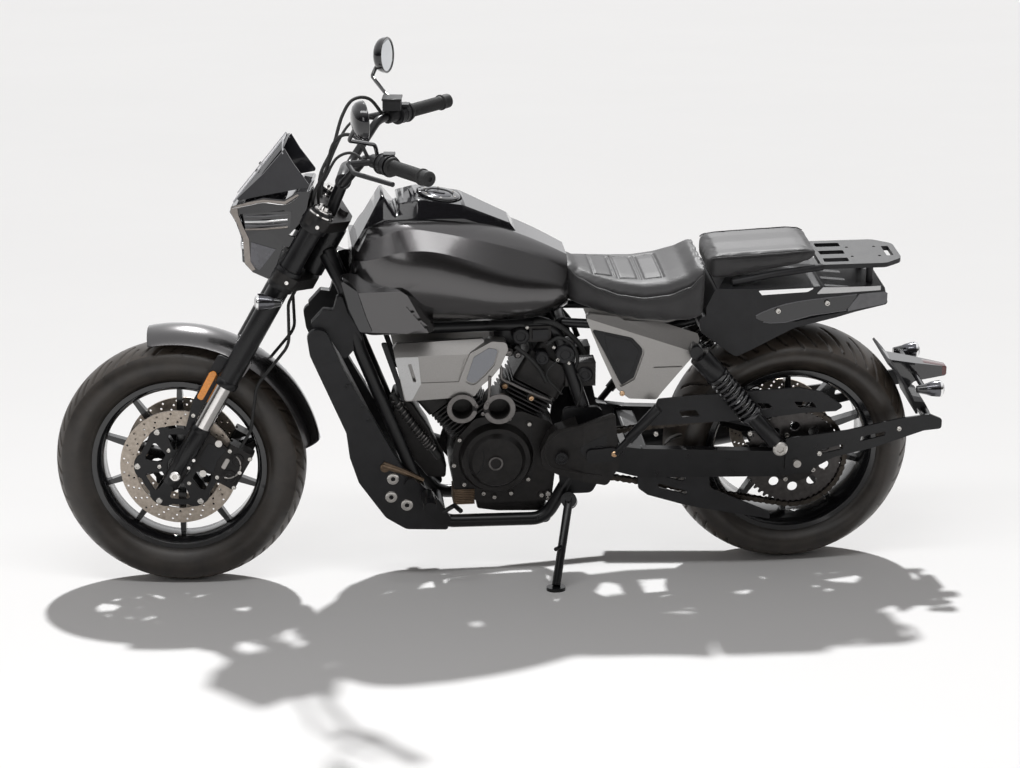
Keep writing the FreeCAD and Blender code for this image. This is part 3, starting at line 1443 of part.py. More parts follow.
for item in doc.Objects:
    if "Invalid" in item.State or "Error" in item.State:
        raise ValueError(f"{item.Label} did not build")
for label, shape, frame in NODES:
    item = doc.getObject(label)
    if item.Shape.isNull() or not item.Shape.isValid() or not item.Shape.Solids:
        raise ValueError(f"{label} is not a sound solid")

os.makedirs("parts", exist_ok=True)
for label, shape, frame in NODES:
    doc.getObject(label).Shape.exportStep(f"parts/{label}.step")
print("size", high - low, "shift", to_middle.Base, "pieces", len(NODES))
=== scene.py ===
import json
import math

import bpy
from mathutils import Matrix, Vector


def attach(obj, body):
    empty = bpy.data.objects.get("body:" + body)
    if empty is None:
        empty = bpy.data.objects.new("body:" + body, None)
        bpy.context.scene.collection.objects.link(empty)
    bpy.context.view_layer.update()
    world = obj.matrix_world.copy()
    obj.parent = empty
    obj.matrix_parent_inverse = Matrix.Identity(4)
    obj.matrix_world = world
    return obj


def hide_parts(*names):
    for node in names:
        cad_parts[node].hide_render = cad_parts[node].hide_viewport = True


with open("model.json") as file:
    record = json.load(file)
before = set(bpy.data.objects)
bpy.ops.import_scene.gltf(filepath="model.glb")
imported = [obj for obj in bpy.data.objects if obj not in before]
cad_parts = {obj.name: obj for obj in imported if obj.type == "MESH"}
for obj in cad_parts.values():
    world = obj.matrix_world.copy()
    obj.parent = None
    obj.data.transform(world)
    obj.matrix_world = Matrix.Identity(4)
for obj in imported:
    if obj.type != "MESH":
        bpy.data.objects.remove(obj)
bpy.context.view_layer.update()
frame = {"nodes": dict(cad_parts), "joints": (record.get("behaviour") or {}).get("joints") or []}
scene = bpy.context.scene
scene.view_settings.view_transform = "Standard"

# ---------------------------------------------------------------- the bike's own frames
# Pieces are drawn in millimetres in the upright bike's frame: x ahead of the rear axle, y to
# the rider's left, z up.  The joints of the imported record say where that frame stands.

MM = 0.001
WELD_REACH = 0.02 * MM
RAKE = math.radians(29)
WHEELBASE = 1566
AXLE_HEIGHT = 320
joints = {joint["name"]: joint for joint in frame["joints"]}


def joint_place(name):
    return Vector(joints[name]["pos_m"]), Vector(joints[name]["axis"]).normalized()


rear_axle, left = joint_place("rear_wheel_spin")
front_left = joint_place("front_wheel_spin")[1]
stem, steer_up = joint_place("steering_turn")
level = left.cross(steer_up)
ahead = math.cos(RAKE) * level - math.sin(RAKE) * steer_up
upward = math.sin(RAKE) * level + math.cos(RAKE) * steer_up


def frame_matrix(x_axis, y_axis, z_axis, origin):
    matrix = Matrix.Identity(4)
    for column, axis in enumerate((x_axis, y_axis, z_axis, origin)):
        for row in range(3):
            matrix[row][column] = axis[row]
    return matrix


bike = frame_matrix(ahead, left, upward, rear_axle - upward * AXLE_HEIGHT * MM)
turn = math.atan2(steer_up.dot(left.cross(front_left)), left.dot(front_left))
steer = Matrix.Translation(stem) @ Matrix.Rotation(turn, 4, steer_up) @ Matrix.Translation(-stem)
steered = steer @ bike
hub = Matrix.Translation(Vector((WHEELBASE, 0, AXLE_HEIGHT)) * MM)
fork = steered @ hub @ Matrix.Rotation(-RAKE, 4, "Y")

# ---------------------------------------------------------------- materials


def node(tree, kind, **values):
    made = tree.nodes.new(kind)
    for key, value in values.items():
        if key in made.inputs:
            made.inputs[key].default_value = value
        else:
            setattr(made, key, value)
    return made


def material(name, color, rough, metal=0.0, coat=0.0, coat_rough=0.05, scale=40.0, spread=0.18,
             rough_spread=0.08, bump=0.0, bump_scale=400.0, sheen=0.0, glass=0.0,
             stretch=(1, 1, 1), tint=None, specular=0.5):
    """A principled material whose colour, roughness and relief vary with noise over the object."""
    made = bpy.data.materials.new(name)
    made.use_nodes = True
    tree = made.node_tree
    shader = tree.nodes["Principled BSDF"]
    place = node(tree, "ShaderNodeTexCoord")
    mapping = node(tree, "ShaderNodeMapping")
    mapping.inputs["Scale"].default_value = stretch
    tree.links.new(place.outputs["Object"], mapping.inputs["Vector"])
    cloud = node(tree, "ShaderNodeTexNoise", Scale=scale, Detail=5.0, Roughness=0.6)
    tree.links.new(mapping.outputs["Vector"], cloud.inputs["Vector"])
    ramp = node(tree, "ShaderNodeValToRGB")
    low = [channel * (1 - spread) for channel in color]
    high = [min(1.0, channel * (1 + spread)) for channel in (tint or color)]
    ramp.color_ramp.elements[0].position = 0.3
    ramp.color_ramp.elements[0].color = (*low, 1)
    ramp.color_ramp.elements[1].position = 0.7
    ramp.color_ramp.elements[1].color = (*high, 1)
    tree.links.new(cloud.outputs["Fac"], ramp.inputs["Fac"])
    tree.links.new(ramp.outputs["Color"], shader.inputs["Base Color"])
    span = node(tree, "ShaderNodeMapRange")
    span.inputs["To Min"].default_value = max(0.02, rough - rough_spread)
    span.inputs["To Max"].default_value = min(1.0, rough + rough_spread)
    tree.links.new(cloud.outputs["Fac"], span.inputs["Value"])
    tree.links.new(span.outputs["Result"], shader.inputs["Roughness"])
    for key, value in (("Metallic", metal), ("Coat Weight", coat), ("Coat Roughness", coat_rough),
                       ("Sheen Weight", sheen), ("Transmission Weight", glass),
                       ("Specular IOR Level", specular)):
        shader.inputs[key].default_value = value
    if bump:
        grain = node(tree, "ShaderNodeTexNoise", Scale=bump_scale, Detail=3.0)
        tree.links.new(mapping.outputs["Vector"], grain.inputs["Vector"])
        relief = node(tree, "ShaderNodeBump", Strength=bump, Distance=0.0006)
        tree.links.new(grain.outputs["Fac"], relief.inputs["Height"])
        tree.links.new(relief.outputs["Normal"], shader.inputs["Normal"])
    return made


def leather_look():
    """Black grained leather: voronoi pebbles over a soft cloud of wear."""
    made = material("leather", (0.030, 0.029, 0.030), 0.50, scale=14, spread=0.3, rough_spread=0.06,
                    sheen=0.15, specular=0.42)
    tree = made.node_tree
    shader = tree.nodes["Principled BSDF"]
    place = node(tree, "ShaderNodeTexCoord")
    pebbles = node(tree, "ShaderNodeTexVoronoi", Scale=620.0)
    pebbles.feature = "DISTANCE_TO_EDGE"
    tree.links.new(place.outputs["Object"], pebbles.inputs["Vector"])
    relief = node(tree, "ShaderNodeBump", Strength=0.35, Distance=0.0004)
    tree.links.new(pebbles.outputs["Distance"], relief.inputs["Height"])
    tree.links.new(relief.outputs["Normal"], shader.inputs["Normal"])
    return made


LOOKS = {}


def look(name, *values, **more):
    LOOKS[name] = material(name, *values, **more)


look("graphite", (0.080, 0.077, 0.078), 0.25, metal=0.95, coat=1.0, coat_rough=0.12, scale=900,
     spread=0.16, rough_spread=0.05)
look("gloss_black", (0.008, 0.008, 0.010), 0.12, coat=0.9, coat_rough=0.04, scale=6,
     rough_spread=0.03, specular=0.4)
look("matte_plastic", (0.016, 0.016, 0.0175), 0.48, scale=25, spread=0.25, bump=0.35,
     bump_scale=1400, specular=0.35)
look("black_steel", (0.009, 0.009, 0.010), 0.30, scale=30, bump=0.10, bump_scale=900, specular=0.35)
look("casting", (0.020, 0.0185, 0.018), 0.40, metal=0.4, scale=35, spread=0.3, bump=0.4,
     bump_scale=1100, specular=0.4)
look("rim_black", (0.008, 0.008, 0.009), 0.22, coat=0.6, coat_rough=0.12, scale=12)
look("bright_steel", (0.60, 0.58, 0.55), 0.24, metal=0.85, scale=60, spread=0.08, stretch=(1, 1, 6))
look("disc_steel", (0.40, 0.34, 0.28), 0.38, metal=0.7, scale=120, spread=0.10, bump=0.10,
     bump_scale=800, tint=(0.50, 0.44, 0.38))
look("silver_paint", (0.31, 0.30, 0.29), 0.32, metal=0.75, coat=0.3, coat_rough=0.2, scale=700,
     spread=0.10)
look("rubber", (0.014, 0.014, 0.014), 0.62, scale=60, bump=0.3, bump_scale=900)
look("tyre", (0.024, 0.0195, 0.0160), 0.40, scale=18, spread=0.3, specular=0.6, bump=0.25,
     bump_scale=700, tint=(0.032, 0.026, 0.021))
# Lighter brown rubber for the uncut crown: a painted highlight of the back light along the tread.
look("tread_painted_sheen", (0.052, 0.041, 0.032), 0.42, scale=18, spread=0.3, bump=0.25, bump_scale=700,
     specular=0.6)
LOOKS["leather"] = leather_look()
look("chain", (0.055, 0.047, 0.040), 0.38, metal=0.9, scale=90, spread=0.35)
look("dark_steel", (0.075, 0.070, 0.068), 0.32, metal=0.9, scale=70, spread=0.25)
look("lens", (0.82, 0.84, 0.86), 0.06, glass=0.9, scale=10, spread=0.04, rough_spread=0.02)
look("smoke", (0.024, 0.024, 0.028), 0.12, coat=0.3, scale=10, spread=0.2, rough_spread=0.02,
     specular=0.3)
look("amber", (0.85, 0.30, 0.03), 0.25, coat=0.6, scale=300, spread=0.15)
look("red_lens", (0.10, 0.012, 0.012), 0.12, coat=0.9, scale=60, spread=0.2)
look("dark_lens", (0.020, 0.020, 0.022), 0.08, coat=1.0, scale=20, spread=0.2)
look("dull_steel", (0.19, 0.18, 0.175), 0.38, metal=1.0, scale=60, spread=0.15)
look("satin_steel", (0.40, 0.38, 0.36), 0.34, metal=1.0, scale=60, spread=0.1)
look("brass", (0.62, 0.42, 0.26), 0.30, metal=1.0, scale=60, spread=0.12)
look("bronze", (0.20, 0.145, 0.10), 0.30, metal=0.9, scale=60, spread=0.2)
look("chrome", (0.86, 0.86, 0.86), 0.08, metal=1.0, scale=20, spread=0.03, rough_spread=0.02)
look("dark_chrome", (0.12, 0.12, 0.13), 0.14, metal=1.0, scale=20, spread=0.1, rough_spread=0.04)
look("stanchion", (0.80, 0.78, 0.76), 0.14, metal=1.0, scale=30, spread=0.05, stretch=(1, 1, 8),
     rough_spread=0.05)
look("bright_fins", (0.10, 0.10, 0.10), 0.4, metal=0.8, scale=90)
look("pale_silver", (0.52, 0.52, 0.52), 0.30, metal=0.5, coat=0.3, coat_rough=0.2, scale=700,
     spread=0.08)
look("smoked_silver", (0.16, 0.165, 0.18), 0.16, metal=0.85, coat=0.8, coat_rough=0.05, scale=400,
     spread=0.1)
look("grey_gloss", (0.10, 0.10, 0.115), 0.28, coat=0.6, coat_rough=0.15, scale=30)
# Pale grey for the fly screen's face and edges: a painted reflection of the bright room on the
# screen.
look("screen_painted_reflection", (0.50, 0.50, 0.52), 0.22, coat=0.6, coat_rough=0.1, scale=12, spread=0.06)
look("indicator_lens", (0.80, 0.80, 0.80), 0.12, coat=0.8, scale=60, spread=0.08)
look("titanium", (0.26, 0.235, 0.215), 0.24, metal=0.95, coat=0.4, scale=50, spread=0.12)
look("satin_grey", (0.135, 0.135, 0.142), 0.42, scale=60, spread=0.12, bump=0.15, bump_scale=1500)
look("mirror", (0.70, 0.72, 0.74), 0.03, metal=1.0, scale=10, spread=0.03, rough_spread=0.01)

NODE_LOOKS = {
    # look and bevel in mm: the nodes that have them
    ("black_steel", 0): "main_frame",
    ("black_steel", 1): "side_stand_bracket shock_absorbers lamp_arms exhaust footrests "
                        "fork_legs handlebar side_stand",
    ("casting", 3): "engine_block",
    ("casting", 1): "front_cylinder rear_cylinder radiator",
    ("casting", 2): "engine_covers rear_caliper fork_yokes front_calipers",
    ("silver_paint", 2): "airbox_covers",
    ("matte_plastic", 3): "radiator_cowl tail_unit",
    ("graphite", 0): "fuel_tank",
    ("gloss_black", 2): "tank_top_cover",
    ("graphite", 3): "side_scoops",
    ("gloss_black", 1): "scoop_frames mirrors front_indicators fuel_cap",
    ("silver_paint", 3): "side_covers",
    ("leather", 0): "rider_seat pillion_seat",
    ("matte_plastic", 1.5): "luggage_rack",
    ("black_steel", 2): "swingarm",
    ("bright_steel", 1): "rear_axle front_axle",
    ("gloss_black", 0): "shock_springs",
    ("chain", 0): "drive_chain",
    ("matte_plastic", 1): "chain_guards rear_mudguard fork_guards hand_controls",
    ("dark_lens", 1): "rear_lamps",
    ("rubber", 0): "brake_hoses",
    ("graphite", 1): "front_fender",
    ("rubber", 1): "hand_grips",
    ("gloss_black", 3): "headlight",
    ("lens", 1): "headlight_lens",
    ("smoke", 1): "flyscreen",
    ("tyre", 0): "front_tyre rear_tyre",
    ("rim_black", 1): "front_rim rear_rim",
    ("disc_steel", 0.5): "front_discs rear_disc",
    ("dark_steel", 0.5): "rear_sprocket",
}


def round_edges(item, bevel, limit):
    """Rounds the edges of an item that bend by more than this many degrees."""
    rounding = item.modifiers.new("round", "BEVEL")
    rounding.width = bevel * MM
    rounding.segments = 2
    rounding.limit_method = "ANGLE"
    rounding.angle_limit = math.radians(limit)
    return rounding


def dress_nodes():
    """Gives each CAD node its material, and rounds its sharp edges a little."""
    kinds = {name: kind for kind, names in NODE_LOOKS.items() for name in names.split()}
    for name, item in frame["nodes"].items():
        look, bevel = kinds[name]
        item.data.materials.clear()
        item.data.materials.append(LOOKS[look])
        if bevel:
            weld = item.modifiers.new("weld", "WELD")
            weld.merge_threshold = WELD_REACH
            rounding = round_edges(item, bevel, 38)
            rounding.use_clamp_overlap = True
            rounding.harden_normals = True


dress_nodes()

# ---------------------------------------------------------------- mesh building


class Build:
    """Vertices and faces in millimetres, gathered from several forms into one piece."""

    def __init__(self):
        self.verts = []
        self.faces = []
        self.slots = []

    def add(self, form, place=None, slot=0):
        verts, faces = form
        base = len(self.verts)
        self.verts += [place @ Vector(v) for v in verts] if place else [Vector(v) for v in verts]
        self.faces += [[base + index for index in face] for face in faces]
        self.slots += [slot] * len(faces)
        return self


def piece(name, build, where, body, looks, smooth=35, bevel=0.0, replaces=()):
    """Makes the object from a build in millimetres of the where frame, riding on its body."""
    mesh = bpy.data.meshes.new(name)
    scaled = where @ Matrix.Scale(MM, 4)
    mesh.from_pydata([scaled @ v for v in build.verts], [], build.faces)
    for look in looks:
        mesh.materials.append(LOOKS[look])
    mesh.polygons.foreach_set("material_index", build.slots)
    mesh.validate()
    made = bpy.data.objects.new(name, mesh)
    scene.collection.objects.link(made)
    if bevel:
        round_edges(made, bevel, 40)
    mesh.polygons.foreach_set("use_smooth", [True] * len(mesh.polygons))
    mesh.set_sharp_from_angle(angle=math.radians(smooth))
    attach(made, body)
    if replaces:
        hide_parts(*replaces)
    return made


def lathe(rows, steps, closed=True):
    """A form turned about y from (radius, y) rows, starting at +x."""
    count = len(rows)
    verts = []
    for step in range(steps):
        angle = 2 * math.pi * step / steps
        verts += [(r * math.cos(angle), y, r * math.sin(angle)) for r, y in rows]
    faces = []
    for step in range(steps):
        a, b = step * count, ((step + 1) % steps) * count
        for index in range(count if closed else count - 1):
            after = (index + 1) % count
            faces.append((a + index, b + index, b + after, a + after))
    return verts, faces


def hex_reach(angle):
    return 1 / math.cos((angle + math.pi / 6) % (math.pi / 3) - math.pi / 6)


def bolt_head(radius, height, steps=24):
    """A button head about z with a hexagonal socket, standing on z = 0."""
    rows = [(radius, 0, False), (radius, height * 0.55, False), (radius * 0.8, height, False)]
    inner = radius * 0.48
    rows += [(inner, height, True), (inner, height * 0.35, True)]
    verts = []
    for step in range(steps):
        angle = 2 * math.pi * step / steps
        for r, z, hexed in rows:
            reach = r * hex_reach(angle) if hexed else r
            verts.append((reach * math.cos(angle), reach * math.sin(angle), z))
    faces = []
    count = len(rows)
    for step in range(steps):
        a, b = step * count, ((step + 1) % steps) * count
        faces += [(a + k, b + k, b + k + 1, a + k + 1) for k in range(count - 1)]
    faces.append([step * count + count - 1 for step in range(steps)])
    return verts, faces


def facing(place, direction, spin=0.0):
    """A matrix whose z looks along direction, at place."""
    aim = Vector(direction).to_track_quat("Z", "Y").to_matrix().to_4x4()
    return Matrix.Translation(Vector(place)) @ aim @ Matrix.Rotation(spin, 4, "Z")


def rounded(rows, steps=5):
    """Points round a closed outline of (x, z, corner radius) rows."""
    points = []
    count = len(rows)
    for index, row in enumerate(rows):
        corner = Vector(row[:2])
        radius = row[2] if len(row) > 2 else 0
        if radius <= 0:
            points.append(tuple(corner))
            continue
        back = (Vector(rows[index - 1][:2]) - corner).normalized()
        on = (Vector(rows[(index + 1) % count][:2]) - corner).normalized()
        half = back.angle(on) / 2
        middle = (back + on).normalized()
        centre = corner + middle * (radius / math.sin(half))
        start = corner + back * (radius / math.tan(half)) - centre
        end = corner + on * (radius / math.tan(half)) - centre
        sweep = start.angle_signed(end)
        for step in range(steps + 1):
            spun = start.copy()
            spun.rotate(Matrix.Rotation(-sweep * step / steps, 2))
            points.append(tuple(centre + spun))
    return points


def polar(x, z, reach, angle):
    """The point at this reach and angle from (x, z) in a side plane."""
    return x + reach * math.cos(angle), z + reach * math.sin(angle)


def circle(x, z, radius, steps=16):
    return [polar(x, z, radius, 2 * math.pi * k / steps) for k in range(steps)]


def plate(loops, y_low, y_high, bevel=0.6):
    """A flat plate: the first loop of (x, z) points is its edge, the others are its holes."""
    curve = bpy.data.curves.new("plate", "CURVE")
    curve.dimensions = "2D"
    curve.fill_mode = "BOTH"
    curve.extrude = (y_high - y_low) / 2 - bevel
    curve.bevel_depth = bevel
    curve.bevel_resolution = 1
    curve.offset = -bevel
    for loop in loops:
        line = curve.splines.new("POLY")
        line.points.add(len(loop) - 1)
        for point, (x, z) in zip(line.points, loop):
            point.co = (x, z, 0, 1)
        line.use_cyclic_u = True
    holder = bpy.data.objects.new("plate", curve)
    mesh = bpy.data.meshes.new_from_object(holder)
    middle = (y_low + y_high) / 2
    verts = [(v.co.x, middle - v.co.z, v.co.y) for v in mesh.vertices]
    faces = [tuple(polygon.vertices) for polygon in mesh.polygons]
    bpy.data.objects.remove(holder)
    bpy.data.curves.remove(curve)
    bpy.data.meshes.remove(mesh)
    return verts, faces


def smooth_path(points, steps=8):
    """Points along a Catmull-Rom curve through the given ones."""
    rows = [Vector(p) for p in points]
    rows = [2 * rows[0] - rows[1]] + rows + [2 * rows[-1] - rows[-2]]
    path = []
    for index in range(1, len(rows) - 2):
        a, b, c, d = rows[index - 1:index + 3]
        for step in range(steps):
            t = step / steps
            path.append(0.5 * (2 * b + (c - a) * t + (2 * a - 5 * b + 4 * c - d) * t ** 2
                               + (3 * b - a - 3 * c + d) * t ** 3))
    path.append(rows[-2])
    return path


def tube(path, radius, sides=12):
    """A round tube along points; radius is a number or a function of the share along it."""
    path = [Vector(p) for p in path]
    verts, faces = [], []
    side = None
    for index, point in enumerate(path):
        along = (path[min(index + 1, len(path) - 1)] - path[max(index - 1, 0)]).normalized()
        if side is None:
            side = along.orthogonal().normalized()
        side = (side - along * side.dot(along)).normalized()
        other = along.cross(side)
        r = radius(index / (len(path) - 1)) if callable(radius) else radius
        for k in range(sides):
            angle = 2 * math.pi * k / sides
            verts.append(point + r * (side * math.cos(angle) + other * math.sin(angle)))
    for index in range(len(path) - 1):
        a, b = index * sides, (index + 1) * sides
        faces += [(a + k, a + (k + 1) % sides, b + (k + 1) % sides, b + k) for k in range(sides)]
    faces.append(list(range(sides))[::-1])
    faces.append([(len(path) - 1) * sides + k for k in range(sides)])
    return verts, faces


def mirror_y(form):
    verts, faces = form
    return [(v[0], -v[1], v[2]) for v in verts], [tuple(face)[::-1] for face in faces]


def loft(rings):
    """A closed form through rings that have as many points each, capped at both ends."""
    count = len(rings[0])
    faces = []
    for index in range(len(rings) - 1):
        a, b = index * count, (index + 1) * count
        faces += [(a + k, a + (k + 1) % count, b + (k + 1) % count, b + k) for k in range(count)]
    faces.append(list(range(count))[::-1])
    faces.append([(len(rings) - 1) * count + k for k in range(count)])
    return [v for ring in rings for v in ring], faces


def placed(build, place):
    """The build moved by a matrix, with the same looks."""
    made = Build().add((build.verts, build.faces), place)
    made.slots = build.slots
    return made


def both_sides(build):
    """The build and its mirror image, with the same looks."""
    made = Build()
    for form in ((build.verts, build.faces), mirror_y((build.verts, build.faces))):
        made.add(form)
    made.slots = build.slots * 2
    return made


def straight(rows, x):
    """The value at x of a table of (x, value) rows in rising order, by straight lines."""
    for (x0, y0), (x1, y1) in zip(rows, rows[1:]):
        if x <= x1:
            return y0 + (y1 - y0) * (x - x0) / (x1 - x0)
    return rows[-1][1]


# ---------------------------------------------------------------- tyres

RIM_RADIUS = 216
CROWN_STEPS, WALL_STEPS, TYRE_STEPS = 44, 8, 720
GROOVE_DEPTH = 6.5
LONG_HALF, SHORT_HALF = 4.6, 4.0  # half widths of the long and the short cuts


def tyre_section(radius, half_width, crown_half, crown_drop, rim_half):
    """(radius, y) rows round a tyre: crown, wall, bead, and the inner face."""
    shoulder = radius - crown_drop
    bead = RIM_RADIUS + 12
    arc = (crown_half ** 2 + crown_drop ** 2) / (2 * crown_drop)
    reach = math.asin(crown_half / arc)
    rows = []
    for k in range(CROWN_STEPS + 1):
        angle = reach * (2 * k / CROWN_STEPS - 1)
        rows.append((radius - arc + arc * math.cos(angle), arc * math.sin(angle)))
    wall_middle = (bead + shoulder) / 2
    wall = []
    bulge = 2 * half_width - (crown_half + rim_half) / 2
    for k in range(1, WALL_STEPS + 1):
        t = k / WALL_STEPS
        y = (1 - t) ** 2 * crown_half + 2 * t * (1 - t) * bulge + t * t * rim_half
        r = (1 - t) ** 2 * shoulder + 2 * t * (1 - t) * wall_middle + t * t * bead
        wall.append((r, y))
    rows += wall
    rows.append((RIM_RADIUS + 0.5, rim_half - 0.5))
    rows.append((RIM_RADIUS + 0.5, 0.5 - rim_half))
    rows += [(r, -y) for r, y in reversed(wall)]
    return rows


def groove(across, along, pitch):
    """How deep the tread is cut, 0 to 1: slanting cuts that run out to the shoulders."""
    side = 1 if across >= 0 else -1
    reach = abs(across)
    if reach < 0.10:
        return 0.0
    phase = (along + side * pitch * 0.25 + 0.55 * pitch * reach ** 0.8 * 1.9) / pitch
    distance = abs((phase % 1.0) - 0.5) * pitch
    long_cut = max(0.0, 1 - distance / LONG_HALF) if reach < 0.90 else 0.0
    short = ((phase + 0.5) % 1.0)
    short_cut = max(0.0, 1 - abs(short - 0.5) * pitch / SHORT_HALF) if 0.45 < reach < 0.97 else 0.0
    return min(1.0, 1.9 * max(long_cut, short_cut))


def tyre_piece(name, place, body, node_name, section, cuts, slant):
    rows = tyre_section(*section)
    radius, crown_half = section[0], section[2]
    pitch = 2 * math.pi * radius / cuts
    verts, faces, slots = [], [], []
    count = len(rows)
    for step in range(TYRE_STEPS):
        angle = 2 * math.pi * step / TYRE_STEPS
        along = radius * angle
        for index, (r, y) in enumerate(rows):
            cut = groove(y / crown_half, slant * along, pitch) if 0 < index < CROWN_STEPS else 0.0
            r -= GROOVE_DEPTH * cut
            verts.append((r * math.cos(angle), y, r * math.sin(angle)))
            # Uncut crown faces take the lighter tread look, a painted highlight; cut faces keep the
            # plain tyre colour, so the grooves read as shaded.
            slots.append(1 if index < CROWN_STEPS and cut < 0.4 else 0)
    for step in range(TYRE_STEPS):
        a, b = step * count, ((step + 1) % TYRE_STEPS) * count
        faces += [(a + k, b + k, b + (k + 1) % count, a + (k + 1) % count) for k in range(count)]
    build = Build().add((verts, faces), place)
    build.slots = slots
    return piece(name, build, Matrix.Identity(4), body, ["tyre", "tread_painted_sheen"], smooth=50,
                 replaces=[node_name])


def wheel_place(where, x):
    """The wheel's own frame in millimetres of the world, for pieces drawn about its axle."""
    axle = Matrix.Translation((x, 0, AXLE_HEIGHT))
    return Matrix.Scale(1 / MM, 4) @ where @ Matrix.Scale(MM, 4) @ axle


tyre_piece("front_tread", wheel_place(steered, WHEELBASE), "front_wheel", "front_tyre",
           (320, 68, 58, 20, 45), 26, 1)
tyre_piece("rear_tread", wheel_place(bike, 0), "rear_wheel", "rear_tyre", (320, 102, 92, 34, 80),
           24, -1)

# ---------------------------------------------------------------- brakes, sprocket and chain

DISC_LOOKS = ["disc_steel", "black_steel", "bright_steel"]


def disc_band(radius, depth, ears, y_low, y_high):
    """The braking band: drilled, with round ears on its inner edge."""
    inner = radius - depth
    ear_radius, ear_at = 13.0, inner - 5.0
    edge = []
    for step in range(240):
        angle = 2 * math.pi * step / 240
        off = (angle + math.pi / ears) % (2 * math.pi / ears) - math.pi / ears
        aside = ear_at * math.sin(off)
        reach = inner
        if abs(aside) < ear_radius:
            reach = min(inner, ear_at * math.cos(off) - math.sqrt(ear_radius ** 2 - aside ** 2))
        edge.append(polar(0, 0, reach, angle))
    loops = [circle(0, 0, radius, 120), edge]
    for group in range(24):
        for row, share in enumerate((0.22, 0.50, 0.78)):
            angle = 2 * math.pi * (group + 0.27 * row) / 24
            loops.append(circle(*polar(0, 0, inner + depth * share, angle), 2.9, 8))
    return plate(loops, y_low, y_high, 0.5), ear_at


def disc_carrier(reach, ears, bore, y_low, y_high):
    """The black carrier: arms out to the ears and windows between them."""
    edge = []
    for step in range(240):
        angle = 2 * math.pi * step / 240
        off = (angle + math.pi / ears) % (2 * math.pi / ears) - math.pi / ears
        edge_r = reach - 13 * min(1.0, (abs(off) / (0.62 * math.pi / ears)) ** 3)
        edge.append(polar(0, 0, edge_r, angle))
    loops = [edge, circle(0, 0, bore, 40)]
    for window in range(ears):
        middle = 2 * math.pi * (window + 0.5) / ears
        spread = 0.30 * 2 * math.pi / ears
        inner, outer = bore + 16, reach - 24
        corners = ((inner, -0.8, 5), (outer, -1, 7), (outer, 1, 7), (inner, 0.8, 5))
        loops.append(rounded([(*polar(0, 0, r, middle + share * spread), corner)
                              for r, share, corner in corners]))
    return plate(loops, y_low, y_high, 0.8)


def add_disc(build, radius, depth, side, y_in, thickness=5.0, ears=6):
    low, high = (y_in, y_in + thickness) if side > 0 else (-y_in - thickness, -y_in)
    band, ear_at = disc_band(radius, depth, ears, low, high)
    build.add(band)
    build.add(disc_carrier(ear_at + 9, ears, 30, low + 0.4, high + 0.6 * side), slot=1)
    face = y_in + thickness
    for ear in range(ears):
        angle = 2 * math.pi * ear / ears
        for reach, radius_here in ((ear_at, 8.0), (50, 5.5)):
            at = (reach * math.cos(angle), side * (face + 0.2), reach * math.sin(angle))
            build.add(bolt_head(radius_here, 2.6), facing(at, (0, side, 0)), 2)


front_discs = Build()
for side in (1, -1):
    add_disc(front_discs, 150, 39, side, 54)
piece("front_brake_discs", placed(front_discs, wheel_place(steered, WHEELBASE)), Matrix.Identity(4),
      "front_wheel", DISC_LOOKS, replaces=["front_discs"])
rear_disc = Build()
add_disc(rear_disc, 130, 32, -1, 92, ears=5)
piece("rear_brake_disc", placed(rear_disc, wheel_place(bike, 0)), Matrix.Identity(4),
      "rear_wheel", DISC_LOOKS, replaces=["rear_disc"])

CHAIN_Y = 120
CHAIN_PITCH = 15.875
TEETH = 49
SPROCKETS = ((0, AXLE_HEIGHT, 124), (590, 352, 38))


def chain_path():
    """Points one pitch apart round both sprockets."""
    (x0, z0, big), (x1, z1, small) = SPROCKETS
    big, small = big + 8, small + 8
    gap = math.hypot(x1 - x0, z1 - z0)
    tilt = math.atan2(z1 - z0, x1 - x0)
    spread = math.acos((big - small) / gap)
    run = gap * math.sin(spread)
    wraps = (2 * (math.pi - spread) * big, 2 * spread * small)
    total = 2 * run + sum(wraps)
    count = 2 * round(total / CHAIN_PITCH / 2)
    points = []
    for index in range(count):
        s = total * index / count
        if s < run:
            a = tilt + spread
            start, end = Vector(polar(x0, z0, big, a)), Vector(polar(x1, z1, small, a))
            points.append(start.lerp(end, s / run))
            continue
        s -= run
        if s < wraps[1]:
            points.append(Vector(polar(x1, z1, small, tilt + spread - s / small)))
            continue
        s -= wraps[1]
        if s < run:
            a = tilt - spread
            start, end = Vector(polar(x1, z1, small, a)), Vector(polar(x0, z0, big, a))
            points.append(start.lerp(end, s / run))
            continue
        s -= run
        points.append(Vector(polar(x0, z0, big, tilt - spread - s / big)))
    return points


def link_plate(a, b, y_low, y_high):
    """One side plate between two pins, waisted in the middle."""
    along = (b - a).normalized()
    across = Vector((-along.y, along.x))
    edge = []
    for centre, start in ((b, -90), (a, 90)):
        for k in range(7):
            angle = math.radians(start + 30 * k)
            edge.append(centre + 6.8 * (along * math.cos(angle) + across * math.sin(angle)))
        edge.append((a + b) / 2 + (across if start < 0 else -across) * 5.0)
    count = len(edge)
    verts = [(p.x, y, p.y) for y in (y_low, y_high) for p in edge]
    faces = [list(range(count)), list(range(2 * count - 1, count - 1, -1))]
    faces += [(k, count + k, count + (k + 1) % count, (k + 1) % count) for k in range(count)]
    return verts, faces


